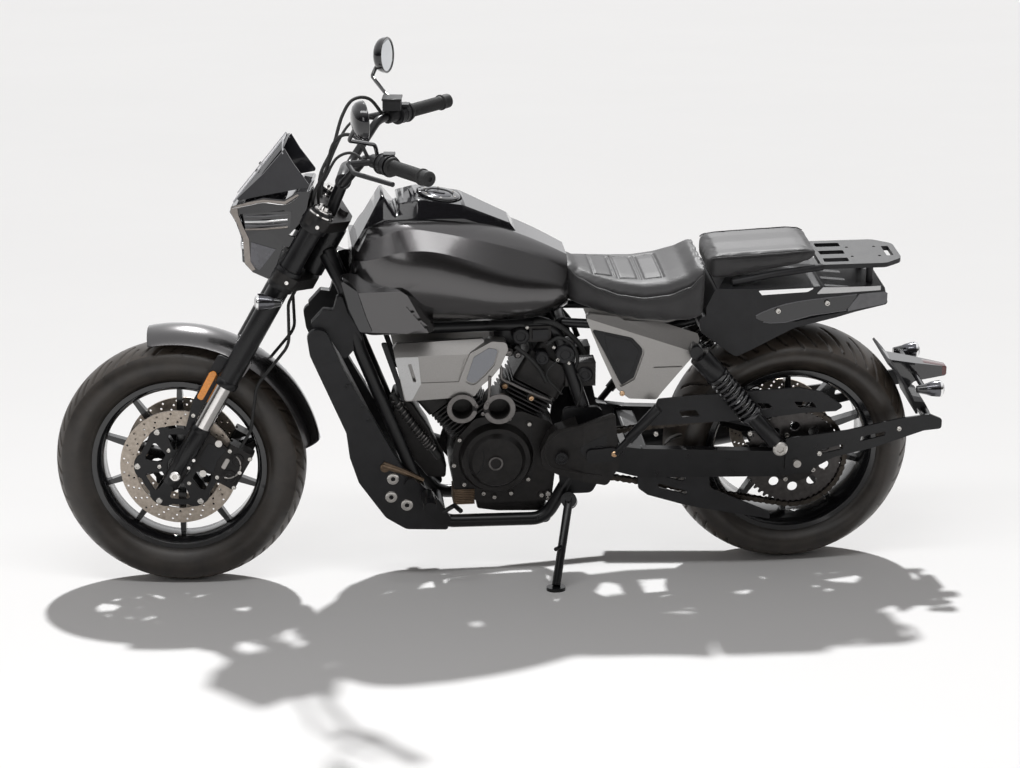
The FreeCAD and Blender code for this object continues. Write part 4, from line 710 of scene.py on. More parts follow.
def make_chain():
    build = Build()
    points = chain_path()
    for index, point in enumerate(points):
        after = points[(index + 1) % len(points)]
        out = 7.5 if index % 2 else 5.0
        for side in (1, -1):
            low, high = sorted((CHAIN_Y + side * out, CHAIN_Y + side * (out + 2)))
            build.add(link_plate(point, after, low, high))
        pin = [(0.01, -9.6), (2.6, -9.6), (2.6, -4.6), (5, -4.6), (5, 4.6), (2.6, 4.6), (2.6, 9.6),
               (0.01, 9.6)]
        build.add(lathe(pin, 10, closed=False), Matrix.Translation((point.x, CHAIN_Y, point.y)))
    piece("roller_chain", build, bike, "frame", ["chain"], replaces=["drive_chain"])


make_chain()


def make_sprocket():
    x, z, radius = SPROCKETS[0]
    edge = []
    for tooth in range(TEETH):
        for share, lift in ((0.0, 0.0), (0.22, 1.5), (0.40, 9.5), (0.60, 9.5), (0.78, 1.5)):
            edge.append(polar(x, z, radius - 2 + lift, 2 * math.pi * (tooth + share) / TEETH))
    loops = [edge, circle(x, z, 60, 40)]
    for window in range(10):
        middle = 2 * math.pi * (window + 0.5) / 10
        loops.append(circle(*polar(x, z, 84, middle), 13, 16))
    build = Build().add(plate(loops, CHAIN_Y - 3.4, CHAIN_Y + 3.4, 0.8))
    carrier = [(14, -27), (52, -27), (56, -6), (70, -5), (70, 4), (46, 5), (40, 12), (14, 12)]
    build.add(lathe(carrier, 60), Matrix.Translation((x, CHAIN_Y, z)), 1)
    for k in range(5):
        angle = 2 * math.pi * k / 5
        at = (x + 64 * math.cos(angle), CHAIN_Y + 4, z + 64 * math.sin(angle))
        build.add(bolt_head(7, 5), facing(at, (0, 1, 0)), 2)
    piece("toothed_sprocket", build, bike, "rear_wheel",
          ["dark_steel", "casting", "bright_steel"],
          replaces=["rear_sprocket"])


make_sprocket()

# ---------------------------------------------------------------- rear shocks

SHOCK_TOP, SHOCK_FOOT = Vector((272, 176, 640)), Vector((50, 176, 372))
COIL_TURNS, COIL_STEPS, COIL_RADIUS = 9.0, 20, 25.5
QUARTER = Matrix.Rotation(math.pi / 2, 4, "X")


def make_springs():
    build = Build()
    along = (SHOCK_TOP - SHOCK_FOOT).normalized()
    length = (SHOCK_TOP - SHOCK_FOOT).length
    low, high = 122, length - 92
    side = along.orthogonal().normalized()
    other = along.cross(side)
    path = []
    for step in range(int(COIL_TURNS * COIL_STEPS) + 1):
        share = step / (COIL_TURNS * COIL_STEPS)
        angle = 2 * math.pi * COIL_TURNS * share
        path.append(SHOCK_FOOT + along * (low + (high - low) * share)
                    + COIL_RADIUS * (side * math.cos(angle) + other * math.sin(angle)))
    build.add(tube(path, 5.0, 10))
    for at, rows in ((low, [(12, -6), (30, -6), (31, 0), (30, 2), (12, 2)]),
                     (high, [(12, -2), (30, -2), (31, 0), (31, 6), (12, 6)])):
        build.add(lathe(rows, 32), facing(SHOCK_FOOT + along * at, along) @ QUARTER)
    for share in (0.50, 0.60):
        ring = lathe([(11, -5), (19, -5), (20, -3), (20, 3), (19, 5), (11, 5)], 32)
        build.add(ring, facing(SHOCK_FOOT + along * length * share, along) @ QUARTER, 2)
    damper = lathe([(0.01, 20), (11, 20), (11, length - 60), (0.01, length - 60)], 24, closed=False)
    build.add(damper, facing(SHOCK_FOOT, along) @ QUARTER, 1)
    piece("coil_springs", both_sides(build), bike, "frame",
          ["gloss_black", "bright_steel", "chrome"], smooth=60, replaces=["shock_springs"])


make_springs()

# ---------------------------------------------------------------- seats


def between(rows, x):
    """Values of a table of (x, ...) rows at x, by straight lines between them."""
    rows = sorted(rows)
    if x <= rows[0][0]:
        return rows[0][1:]
    for low_row, high_row in zip(rows, rows[1:]):
        if x <= high_row[0]:
            t = (x - low_row[0]) / (high_row[0] - low_row[0])
            t = t * t * (3 - 2 * t) * 0.5 + t * 0.5
            return tuple(a + (b - a) * t for a, b in zip(low_row[1:], high_row[1:]))
    return rows[-1][1:]


CLOTH_FRAMES = 12
CLOTH = {"quality": 4, "mass": 0.3, "tension_stiffness": 20, "compression_stiffness": 20,
         "bending_stiffness": 2, "use_pressure": True}


def plump(item, voxel, pressure, cap):
    """Fills the pad like foam under its cover: an even remesh, then a short cloth run, capped."""
    bpy.context.view_layer.objects.active = item
    remesh = item.modifiers.new("even", "REMESH")
    remesh.mode = "VOXEL"
    remesh.voxel_size = voxel * MM
    graph = bpy.context.evaluated_depsgraph_get()
    mesh = bpy.data.meshes.new_from_object(item.evaluated_get(graph))
    item.modifiers.clear()
    for look in item.data.materials:
        mesh.materials.append(look)
    item.data = mesh
    before = [v.co.copy() for v in mesh.vertices]
    cloth = item.modifiers.new("cloth", "CLOTH")
    for key, value in CLOTH.items():
        setattr(cloth.settings, key, value)
    cloth.settings.uniform_pressure_force = pressure
    cloth.settings.effector_weights.gravity = 0
    for number in range(1, CLOTH_FRAMES + 1):
        scene.frame_set(number)
    graph = bpy.context.evaluated_depsgraph_get()
    swollen = item.evaluated_get(graph).to_mesh()
    moved = [v.co.copy() for v in swollen.vertices]
    item.evaluated_get(graph).to_mesh_clear()
    item.modifiers.clear()
    scene.frame_set(1)
    for vertex, start, end in zip(mesh.vertices, before, moved):
        step = end - start
        if step.length > cap * MM:
            step *= cap * MM / step.length
        vertex.co = start + step
    finer = item.modifiers.new("finer", "SUBSURF")
    finer.levels = finer.render_levels = 1
    graph = bpy.context.evaluated_depsgraph_get()
    mesh = bpy.data.meshes.new_from_object(item.evaluated_get(graph))
    item.modifiers.clear()
    item.data = mesh
    mesh.polygons.foreach_set("use_smooth", [True] * len(mesh.polygons))
    return item


def sew(item, where, seams, depth, width):
    """Pulls the cover in along seams, each a function from a bike-frame point to a distance."""
    mesh = item.data
    back = (where @ Matrix.Scale(MM, 4)).inverted()
    normals = [v.normal.copy() for v in mesh.vertices]
    for vertex, normal in zip(mesh.vertices, normals):
        point = back @ vertex.co
        distance = min(seam(point) for seam in seams)
        if distance < 4 * width:
            vertex.co -= normal * depth * MM * math.exp(-(distance / width) ** 2)
    mesh.update()


SADDLE = (
    # x, floor z, piping z, top z, floor half width, piping half width, top half width
    (590, 748, 838, 854, 52, 66, 40), (560, 738, 812, 832, 76, 88, 62),
    (510, 724, 792, 820, 104, 118, 86),
    (460, 716, 779, 811, 124, 136, 102), (400, 708, 773, 806, 136, 148, 112),
    (340, 704, 780, 812, 138, 152, 114),
    (285, 704, 798, 828, 134, 148, 110), (255, 708, 822, 850, 126, 138, 102),
    (243, 716, 836, 856, 116, 126, 92),
)


def saddle_ring(x):
    floor, piping, top, floor_half, half, top_half = between(SADDLE, x)
    inset = 3.0
    side = [
        (top_half * 0.5, top - inset), (top_half, top - 4 - inset), ((top_half + half) / 2 + 2,
                                                                     (top * 2 + piping) / 3 - 3),
        (half - 4, piping + 8), (half - 3, piping), (half - 3, piping - 10),
        ((half + floor_half) / 2 + 1, (piping + floor) / 2),
        (floor_half, floor + 8), (floor_half - 8, floor + 3), (floor_half * 0.5, floor + 3),
    ]
    ring = [(0, top - inset)] + side + [(0, floor + 3)] + [(-y, z) for y, z in reversed(side)]
    return [(x, y, z) for y, z in ring]


def make_saddle():
    stations = [588, 576, 560, 535, 510, 485, 460, 430, 400, 370, 340, 310, 285, 268, 255, 247]
    item = piece("rider_saddle", Build().add(loft([saddle_ring(x) for x in stations])), bike,
                 "frame",
                 ["leather"], replaces=["rider_seat"])
    plump(item, 6, 3, 4)

    def panel(x_low, x_high, half):
        def distance(p):
            if p.z < 790 and abs(p.y) > 108:
                return 99
            dx = max(x_low - p.x, p.x - x_high)
            dy = abs(p.y) - half
            if dx > 0 and dy > 0:
                return math.hypot(dx, dy)
            return abs(max(dx, dy))
        return distance

    panels = [panel(470, 520, 74), panel(408, 458, 84), panel(346, 396, 88)]
    sew(item, bike, panels, 3.2, 3.0)
    build = Build()
    for side in (1, -1):
        path = []
        for x in range(588, 244, -8):
            floor, piping, top, floor_half, half, top_half = between(SADDLE, x)
            path.append((x, side * (half + 0.5), piping + 1))
        build.add(tube(smooth_path(path, 2), 3.2, 8))
    piece("saddle_piping", build, bike, "frame", ["leather"])


make_saddle()

PILLION = (
    # x, floor z, edge z, crown z, half width
    (229, 818, 846, 847, 76), (225, 806, 855, 857, 89), (214, 800, 860, 862, 95),
    (180, 802, 863, 865, 98),
    (130, 810, 865, 867, 99), (60, 821, 868, 870, 99), (0, 832, 871, 872, 97),
    (-28, 839, 870, 871, 92),
    (-42, 845, 866, 867, 82), (-48, 850, 861, 861, 72),
)


def pillion_ring(x):
    floor, edge, crown, half = between(PILLION, x)
    side = [(half * 0.5, crown - 1.5), (half - 16, crown - 1), (half - 5, edge + 0.5),
            (half - 1, edge - 4),
            (half, (edge + floor) / 2), (half - 2, floor + 8), (half - 9, floor + 1),
            (half * 0.5, floor)]
    ring = [(0, crown)] + side + [(0, floor)] + [(-y, z) for y, z in reversed(side)]
    return [(x, y, z) for y, z in ring]


def make_pillion():
    stations = [228, 226, 222, 215, 205, 190, 170, 150, 120, 90, 60, 30, 0, -15, -27, -36, -42, -46]
    item = piece("pillion_pad", Build().add(loft([pillion_ring(x) for x in stations])), bike,
                 "frame",
                 ["leather"], replaces=["pillion_seat"])
    plump(item, 5, 3, 2)

    def edge_seam(p):
        floor, edge, crown, half = between(PILLION, p.x)
        return math.hypot(abs(p.y) - (half - 2), p.z - (edge - 2))

    sew(item, bike, [edge_seam], 2.2, 2.6)
    build = Build()
    for side in (1, -1):
        path = []
        for x in range(224, -45, -6):
            floor, edge, crown, half = between(PILLION, x)
            path.append((x, side * (half + 0.6), edge - 2.5))
        build.add(tube(smooth_path(path, 2), 1.7, 8))
    piece("pillion_piping", build, bike, "frame", ["leather"])


make_pillion()

# ---------------------------------------------------------------- fasteners

LEFT = Vector((0, 1, 0))


def block(x_low, x_high, y_low, y_high, z_low, z_high):
    verts = [(x, y, z) for x in (x_low, x_high) for y in (y_low, y_high) for z in (z_low, z_high)]
    return verts, [(0, 1, 3, 2), (4, 6, 7, 5), (0, 4, 5, 1), (2, 3, 7, 6), (0, 2, 6, 4),
                   (1, 5, 7, 3)]


def drape(form, surface):
    """Bends a form drawn about y = 0 onto a side surface, given as a function of x and z."""
    verts, faces = form
    return [(v[0], surface(v[0], v[2]) + v[1], v[2]) for v in verts], faces


def bolt_rows(rows, boss=0.0, slot=0, boss_slot=1):
    """Button heads facing left, from (x, y, z, radius, height) rows, on seats as deep as boss."""
    build = Build()
    for index, (x, y, z, radius, height) in enumerate(rows):
        build.add(bolt_head(radius, height), facing((x, y, z), LEFT, index * 0.7), slot)
        if boss:
            seat = lathe([(0.01, -boss), (radius + 3.5, -boss), (radius + 3, -0.6),
                          (radius + 2.4, 0.1), (0.01, 0.1)],
                         20, closed=False)
            build.add(seat, Matrix.Translation((x, y, z)), boss_slot)
    return build


ENGINE_BOLTS = (
    # x, y, z, radius, height
    (874, 84, 314, 6, 4), (848, 84, 260, 6, 4), (798, 84, 233, 6, 4), (770, 84, 222, 6, 4),
    (727, 84, 231, 6, 4), (683, 84, 268, 6, 4), (684, 84, 348, 6, 4), (860, 84, 384, 6, 4),
    (681, 84, 421, 6, 4),
)
SHIFT_BOLTS = ((648, 86, 223, 6, 4), (631, 86, 226, 7, 4), (632, 86, 214, 5, 4))
FRAME_BOLTS = (
    (364, 148, 408, 6.5, 4), (121, 148, 399, 6.5, 4), (391, 148, 311, 6.5, 4),
    (249, 148, 292, 6.5, 4),
    (-58, 164, 343, 6.5, 4), (-263, 164, 404, 6.5, 4), (55, 121.5, 721, 7.5, 5),
    (-72, 114, 735, 7.5, 5),
)
SHOCK_BOLTS = ((50, 190, 372, 19, 7),)
BRASS_BOLTS = ((474, 176, 368, 8, 4), (452, 143, 520, 7, 4))
COWL_WASHERS = ((1033, 118, 298), (1038, 118, 248), (998, 118, 224))

bolts = bolt_rows(ENGINE_BOLTS, 8)
shift = bolt_rows(SHIFT_BOLTS, 8)
for extra in (shift, bolt_rows(FRAME_BOLTS), bolt_rows(SHOCK_BOLTS)):
    bolts.add((extra.verts, extra.faces))
    bolts.slots[-len(extra.slots):] = extra.slots
piece("silver_bolts", both_sides(bolts), bike, "frame", ["bright_steel", "casting"])
piece("brass_bolts", both_sides(bolt_rows(BRASS_BOLTS)), bike, "frame", ["brass"])


def make_washers():
    """Cup washers with dark screws, and a brown rubber boss above them."""
    build = Build()
    for x, y, z in COWL_WASHERS:
        cup = [(5, 0.5), (6, 3.5), (11, 4.2), (15, 2.4), (16, 0), (5, 0)]
        build.add(lathe(cup, 32), Matrix.Translation((x, y, z)))
        build.add(bolt_head(6, 3.4), facing((x, y, z), LEFT), 1)
    build.add(lathe([(0.01, 0), (13, 0), (12, 4), (5, 6), (0.01, 6)], 24, closed=False),
              Matrix.Translation((1053, 118, 330)), 2)
    for x, z in ((1146, 556), (1110, 500), (1094, 463)):
        build.add(bolt_head(4, 2), facing((x, 121, z), LEFT), 1)
    piece("cowl_fasteners", both_sides(build), bike, "frame",
          ["bright_steel", "black_steel", "bronze"])


make_washers()

# ---------------------------------------------------------------- engine trim


def arc_rows(x, z, radius, start, end, steps, y):
    """Points of an arc in a side plane, angles in degrees."""
    angles = [math.radians(start + (end - start) * k / steps) for k in range(steps + 1)]
    return [(x + radius * math.cos(angle), y, z + radius * math.sin(angle)) for angle in angles]


def arc_band(x, z, inner, outer, start, end, y_low, y_high, steps=40):
    """A flat band bent round a point, with round ends."""
    middle = (inner + outer) / 2
    points = [(p[0], p[2]) for p in arc_rows(x, z, outer, start, end, steps, 0)]
    tip = arc_rows(x + middle * math.cos(math.radians(end)),
                   z + middle * math.sin(math.radians(end)),
                   (outer - inner) / 2, end, end + 180, 6, 0)
    points += [(p[0], p[2]) for p in tip[1:-1]]
    points += [(p[0], p[2]) for p in arc_rows(x, z, inner, end, start, steps, 0)]
    tip = arc_rows(x + middle * math.cos(math.radians(start)),
                   z + middle * math.sin(math.radians(start)),
                   (outer - inner) / 2, start + 180, start + 360, 6, 0)
    points += [(p[0], p[2]) for p in tip[1:-1]]
    return plate([points], y_low, y_high, 0.8)


def make_engine_trim():
    """Ring clamps, coolant pipes, the covers' plugs, groove and joint line, cylinder bolts."""
    build = Build()
    build.add(arc_band(858, 493, 27, 39, 200, 519, 138, 144))
    build.add(arc_band(764, 489, 28, 41, 10, 335, 138, 144))
    for x, z in ((822, 500), (806, 478), (738, 462), (794, 504)):
        build.add(bolt_head(5, 3), facing((x, 144, z), LEFT), 0)
    build.add(tube(smooth_path([(788, 140, 577), (789, 140, 545), (792, 140, 510),
                                (796, 140, 496)]), 4.2, 10))
    build.add(tube(smooth_path([(766, 118, 604), (757, 120, 590), (756, 122, 564), (730, 122, 548),
                                (690, 120, 526), (640, 112, 500), (626, 96, 494)], 10), 4.2, 12))
    build.add(lathe([(14, 0), (18, 0), (18.6, 2), (16, 3), (14, 2)], 40),
              Matrix.Translation((770, 120, 330)))
    for x, z in ((608, 358), (511, 373)):
        recess_plug = [(0.01, 2), (5, 2), (6, 0.5), (11, 0.5), (12, 3), (15.5, 3), (16.5, 1),
                       (16.5, -4), (0.01, -4)]
        build.add(lathe(recess_plug, 32, closed=False), Matrix.Translation((x, 168, z)), 1)
    build.add(block(700, 770, -60, 60, 600, 700), slot=1)
    groove_line = [(839, 116.2, 369), (841, 116.2, 345), (838, 116.2, 318), (830, 116.2, 305),
                   (820, 116.2, 302),
                   (811, 116.2, 308), (803, 116.2, 326), (800, 116.2, 345), (802, 116.2, 366)]
    build.add(tube(smooth_path(groove_line, 6), 1.1, 8), slot=1)
    build.add(block(674, 677, 80, 82.6, 264, 424), slot=1)
    for x, z, radius in ((746, 533, 8), (678, 498, 7)):
        build.add(bolt_head(radius, 6), facing((x, 96, z), LEFT), 2)
        build.add(lathe([(0.01, -30), (radius + 4, -30), (radius + 4, -1), (radius, 0), (0.01, 0)],
                        20, closed=False),
                  Matrix.Translation((x, 96, z)), 3)
    for x, z in ((736, 626), (714, 620)):
        build.add(bolt_head(7, 6), facing((x, 104, z), LEFT), 0)
        build.add(lathe([(0.01, -40), (11, -40), (11, -1), (9, 0), (0.01, 0)], 20, closed=False),
                  Matrix.Translation((x, 104, z)), 3)
    piece("engine_trim", build, bike, "frame", ["dull_steel", "black_steel",
                                                                "brass", "casting"])


make_engine_trim()


def make_oil_cooler():
    """Bronze finned cooler low on the engine's front."""
    build = Build()
    build.add(block(824, 872, 30, 84, 204, 246))
    for index in range(9):
        z = 206 + index * 4.8
        build.add(block(821, 876, 27, 87, z, z + 2))
    piece("oil_cooler", build, bike, "frame", ["bronze"], bevel=0.5)


make_oil_cooler()


def make_engine_front():
    """Between the down tubes and the engine: bottle, guarded hose, mount and sump."""
    build = Build()
    bottle = rounded([(1018, 500, 8), (978, 474, 14), (934, 404, 20), (906, 332, 14), (890, 300, 8),
                      (892, 264, 8),
                      (938, 268, 12), (986, 332, 20), (1034, 440, 14)], 5)
    build.add(plate([bottle], -44, 48, 6))
    sump = rounded([(816, 206, 6), (812, 182, 8), (760, 173, 14), (652, 169, 8), (640, 200, 6)], 4)
    build.add(plate([sump], -62, 66, 5))
    hose = smooth_path([(1030, 74, 512), (998, 76, 458), (963, 78, 408), (938, 80, 374),
                        (912, 80, 336)], 12)
    build.add(tube(hose, 9, 16), slot=1)
    coil, side = [], Vector((0, 1, 0))
    for step in range(15 * 16 + 1):
        share = 0.06 + 0.78 * step / (15 * 16)
        at = share * (len(hose) - 1)
        low = int(at)
        point = hose[low].lerp(hose[low + 1], at - low)
        along = (hose[low + 1] - hose[low]).normalized()
        across = (side - along * side.dot(along)).normalized()
        other = along.cross(across)
        angle = 2 * math.pi * step / 16
        coil.append(point + 11.5 * (across * math.cos(angle) + other * math.sin(angle)))
    build.add(tube(coil, 1.7, 8), slot=2)
    mount = rounded([(968, 232, 6), (949, 256, 8), (928, 230, 6), (938, 176, 6), (974, 180, 6)], 4)
    build.add(plate([mount], 84, 104, 3), slot=3)
    build.add(tube([(1060, 116, 338), (1012, 114, 318), (956, 108, 286)],
                   lambda share: 11 - 4 * share, 16), slot=3)
    piece("engine_front_parts", build, bike, "frame",
          ["casting", "rubber", "dull_steel", "bronze"])


make_engine_front()


def make_cover_ridge():
    """Raised edge of the sprocket cover, and a flat dark plate that paints the shade of its sunk
    pocket.
    """
    build = Build()
    line = [(470, 168, 466), (540, 168, 450), (608, 168, 431), (640, 168, 406), (651, 168, 377),
            (641, 168, 347),
            (620, 168, 331), (566, 168, 318), (504, 168, 306)]
    build.add(tube(smooth_path(line, 8), 2.2, 8))
    pocket = rounded([(493, 420, 4), (543, 397, 20), (572, 377, 14), (542, 359, 16), (493, 349, 4)],
                     5)
    # The pocket is a thin black plate on the cover's face: painted shade where the recess is.
    build.add(plate([pocket], 167, 168.6, 0.4), slot=1)
    piece("cover_ridge", build, bike, "frame", ["casting", "black_steel"])


make_cover_ridge()


def make_intake():
    """Throttle bodies, coils, canister and hoses between the tank and the rear cylinder."""
    build = Build()
    build.add(block(628, 684, 34, 92, 648, 690))
    build.add(block(636, 676, 92, 98, 656, 682), slot=1)
    build.add(block(566, 612, 40, 88, 588, 640), slot=1)
    build.add(block(512, 590, 30, 84, 520, 584))
    for x, z, radius, low, high in ((705, 664, 22, 20, 96), (592, 612, 25, 60, 98),
                                    (650, 600, 18, 40, 92),
                                    (540, 552, 20, 70, 92)):
        rows = [(0.01, low), (radius, low), (radius, high - 4), (radius - 3, high),
                (radius * 0.55, high),
                (radius * 0.5, high - 3), (0.01, high - 3)]
        build.add(lathe(rows, 32, closed=False), Matrix.Translation((x, 0, z)), 1)
    hoses = (((700, 60, 668), (660, 84, 700), (610, 92, 690), (560, 80, 640), (540, 60, 600)),
             ((640, 96, 640), (610, 100, 660), (576, 98, 640), (560, 90, 600), (566, 80, 560)),
             ((720, 100, 640), (690, 108, 616), (660, 104, 580), (640, 96, 540)))
    for index, line in enumerate(hoses):
        build.add(tube(smooth_path(line, 8), (7, 4.5, 5.5)[index], 12), slot=2)
    for line in (((560, 96, 560), (548, 98, 520), (560, 98, 470)), ((610, 98, 600), (640, 100, 560),
                                                                    (600, 98, 505))):
        build.add(tube(smooth_path(line, 8), 3, 10), slot=2)
    for x, z in ((622, 634), (612, 600), (690, 690), (583, 590)):
        build.add(bolt_head(5, 4), facing((x, 98, z), LEFT), 3)
    piece("intake_parts", both_sides(build), bike, "frame",
          ["casting", "matte_plastic", "rubber", "bright_steel"], bevel=1.2)


make_intake()


FINS, FIN_REACH = 46, 17.6


def make_radiator():
    """The core: rows of fins on the radiator's front and back faces, and its end blocks."""
    build = Build()
    top, foot = Vector((1205, 0, 641)), Vector((1058, 0, 321))
    along = (foot - top)
    ahead_of = Vector((along.z, 0, -along.x)).normalized()
    if ahead_of.x < 0:
        ahead_of = -ahead_of
    for index in range(FINS):
        share = 0.05 + 0.9 * index / (FINS - 1)
        middle = top + along * share
        for side in (1, -1):
            at = middle + ahead_of * side * FIN_REACH
            build.add(block(-1.0, 1.0, -54, 54, -0.9, 0.9), Matrix.Translation(at))
    for side in (1, -1):
        low, high = sorted((side * 54, side * 63))
        for share in (0.03, 0.97):
            at = top + along * share
            build.add(block(-19, 19, low, high, -8, 8), Matrix.Translation(at), 1)
    piece("radiator_core", build, bike, "frame", ["bright_fins", "casting"])


make_radiator()


def make_covers_trim():
    """The lighter front of the airbox cover, its bracket, and the sunk panels' glass-dark skins."""
    build = Build()
    slot = rounded([(994, 615, 2), (985, 615, 2), (972, 566, 2), (981, 566, 2)], 3)
    front = rounded([(1027, 634, 6), (968, 634, 4), (961, 560, 4), (984, 517, 6), (1000, 517, 6)],
                    4)
    build.add(plate([front, slot], 131.6, 133.0, 0.4))
    build.add(plate([rounded([(1060, 668, 4), (1046, 668, 4), (996, 516, 4), (1008, 510, 4)], 4)],
                    112, 124, 1.0), slot=1)
    inset = rounded([(828, 629, 8), (790, 652, 10), (767, 647, 8), (778, 608, 12), (800, 583, 10),
                     (827, 556, 14),
                     (848, 567, 8)], 5)
    build.add(plate([inset], 133.6, 135.2, 0.4), slot=2)
    inset = rounded([(532, 694, 4), (428, 667, 22), (399, 634, 20), (422, 560, 14), (454, 540, 4),
                     (499, 632, 30)], 5)
    build.add(plate([inset], 135.6, 137.4, 0.4), slot=1)
    ridge = rounded([(500, 680, 4), (432, 660, 16), (410, 634, 14), (428, 574, 10), (450, 556, 4),
                     (490, 634, 30)], 5)
    build.add(plate([ridge], 137.0, 138.6, 0.6), slot=1)
    piece("cover_skins", both_sides(build), bike, "frame",
          ["pale_silver", "matte_plastic", "smoked_silver"])


make_covers_trim()

# ---------------------------------------------------------------- tail trim


def tail_y(x, z):
    """Half width of the tail's side."""
    return straight(((-240, 84), (-100, 110), (120, 124), (260, 118)), x)


def skin(rows, surface, lift, depth=2.0):
    """A strip that follows a side surface: rows of (x, low z, high z)."""
    verts = []
    for x, z_low, z_high in rows:
        for z, y in ((z_low, -depth), (z_low, lift), (z_high, lift), (z_high, -depth)):
            verts.append((x, surface(x, z) + y, z))
    last = 4 * len(rows) - 4
    faces = [(0, 1, 2, 3), (last + 3, last + 2, last + 1, last)]
    for index in range(0, last, 4):
        faces += [(index + k, index + 4 + k, index + 4 + (k + 1) % 4,
                   index + (k + 1) % 4) for k in range(4)]
    return verts, faces


def make_tail_trim():
    """Gloss insert with its pale edges, grey top panels, and a chrome strip under the rail as a
    painted highlight of the tail's top.
    """
    build = Build()
    insert = ((112, 704, 708), (104, 699, 713), (92, 694, 718), (72, 690, 726), (35, 690, 736),
              (0, 697, 741),
              (-33, 705, 744), (-80, 709, 747), (-100, 711, 748), (-124, 712, 749),
              (-150, 744, 749))
    build.add(skin(insert, tail_y, 0.5))
    for line in ([(x, high + 1.5) for x, low, high in insert], [(x, low - 1.5) for x, low,
                                                                high in insert[2:10]]):
        build.add(tube([(x, tail_y(x, z) + 0.3, z) for x, z in line], 1.5, 8), slot=1)
    build.add(skin(((-128, 707, 715), (-158, 711, 751), (-224, 717, 751), (-233, 722, 746)), tail_y,
                   1.2), slot=2)
    build.add(skin(((-46, 760, 763), (-60, 760, 777), (-100, 759.5, 775), (-214, 756, 767)), tail_y,
                   1.0), slot=3)
    # Chrome strip under the rail: a painted highlight where light falls on the tail's top surface.
    build.add(skin(((106, 775, 777), (98, 765, 777.5), (-20, 767, 777), (-34, 774, 777)), tail_y,
                   0.8), slot=4)
    piece("tail_trim", both_sides(build), bike, "frame",
          ["gloss_black", "satin_grey", "satin_grey", "pale_silver", "chrome"])


make_tail_trim()

# ---------------------------------------------------------------- front end trim


LEG_Y = 108  # how far each fork leg stands from the middle


def make_fork_finish():
    """Bright stanchions and their seals, clamp rings with silver lips, caps and pinch bolts."""
    build = Build()
    for side in (1, -1):
        at = Matrix.Translation((0, side * LEG_Y, 0)) @ QUARTER
        build.add(lathe([(0.5, 134), (21.9, 134), (21.9, 272.5), (0.5, 272.5)], 48, closed=False),
                  at)
        build.add(lathe([(21, 268), (29.5, 268), (30, 272), (30, 282), (27.2, 286), (21, 286)], 48),
                  at, 1)
        build.add(lathe([(21, 130), (25.5, 130), (25.8, 138), (23.5, 143), (21, 143)], 48), at, 1)
        build.add(lathe([(26, 730), (34, 730), (35.5, 736), (35.5, 773), (33, 777), (26, 777)], 48),
                  at, 1)
        build.add(lathe([(27, 776.5), (34, 776.5), (33, 780), (27, 780)], 48), at)
        build.add(lathe([(0.01, 786), (24, 786), (24, 790), (15, 792), (13, 799), (0.01, 799)], 48,
                        closed=False), at)
        build.add(lathe([(26, 560), (33, 560), (34, 564), (34, 612), (33, 616), (26, 616)], 48), at,
                  1)
        for z in (590, 752):
            build.add(bolt_head(6, 5), facing((-8, side * 143, z), (0, side, 0)), 0)
        build.add(bolt_head(13, 6), facing((0, side * 133, 0), (0, side, 0)), 0)
        for z, x in ((34, -20), (58, -22)):
            build.add(bolt_head(5, 4), facing((x, side * 122, z), (0, side, 0)), 0)
    piece("fork_finish", build, fork, "steering", ["stanchion", "black_steel"])


make_fork_finish()


def make_caliper_trim():
    """Round piston covers, bolts, the bright pad plate and bleed nipple of each front caliper."""
    build = Build()
    for x, z, radius in ((-122, 50, 17), (-120, 98, 17)):
        cover = [(0.01, 3), (radius * 0.3, 3), (radius * 0.38, 1.6), (radius * 0.72, 1.6),
                 (radius * 0.8, 3.4),
                 (radius, 3), (radius + 1, 0), (radius + 1, -5), (0.01, -5)]
        build.add(lathe(cover, 36, closed=False), Matrix.Translation((x, 84, z)), 1)
    for x, z in ((-96, 34), (-92, 112), (-146, 30), (-146, 118)):
        build.add(bolt_head(6, 5), facing((x, 85, z), LEFT), 0)
    pad = rounded([(-104, 60, 4), (-92, 62, 4), (-92, 90, 4), (-104, 92, 4)], 4)
    build.add(plate([pad], 84, 87.5, 0.8), slot=2)
    build.add(tube(arc_rows(-104, 74, 34, 105, 255, 20, 85), 2.4, 10), slot=2)
    build.add(tube([(-140, 84, 74), (-140, 91, 74)], 5, 12), slot=0)
    build.add(tube([(-60, 85, 26), (-60, 91, 26)], 9, 20), slot=0)
    build.add(tube([(-58, 85, 116), (-58, 91, 116)], 9, 20), slot=0)
    web = rounded([(-84, 36, 6), (-34, 44, 10), (-34, 104, 10), (-84, 112, 6), (-76, 74, 20)], 5)
    build.add(plate([web], 85.4, 87.6, 0.8), slot=3)
    piece("caliper_trim", both_sides(build), fork, "steering",
          ["bright_steel", "casting", "satin_steel", "matte_plastic"])


make_caliper_trim()


def make_guard_trim():
    """Amber reflector and bolts on each fork guard."""
    build = Build()
    lens = rounded([(31, 203, 6), (48, 199, 8), (50, 276, 10), (40, 292, 8), (31, 280, 6)], 5)
    build.add(plate([lens], 101.5, 106, 1.2))
    rim_line = rounded([(28, 200, 7), (50.5, 195, 9), (51.5, 279, 11), (41, 297, 9), (28, 283, 7)],
                       5)
    build.add(plate([rim_line], 101, 103, 0.6), slot=1)
    for x, z in ((33, 156), (19, 112)):
        build.add(bolt_head(6, 4), facing((x, 102, z), LEFT), 2)
    piece("fork_reflectors", both_sides(build), fork, "steering",
          ["amber", "matte_plastic", "bright_steel"])


make_guard_trim()


def taper_y(x, z=0):
    """Half width of the headlight at x."""
    return straight(((1200, 100), (1330, 92), (1424, 61)), x)


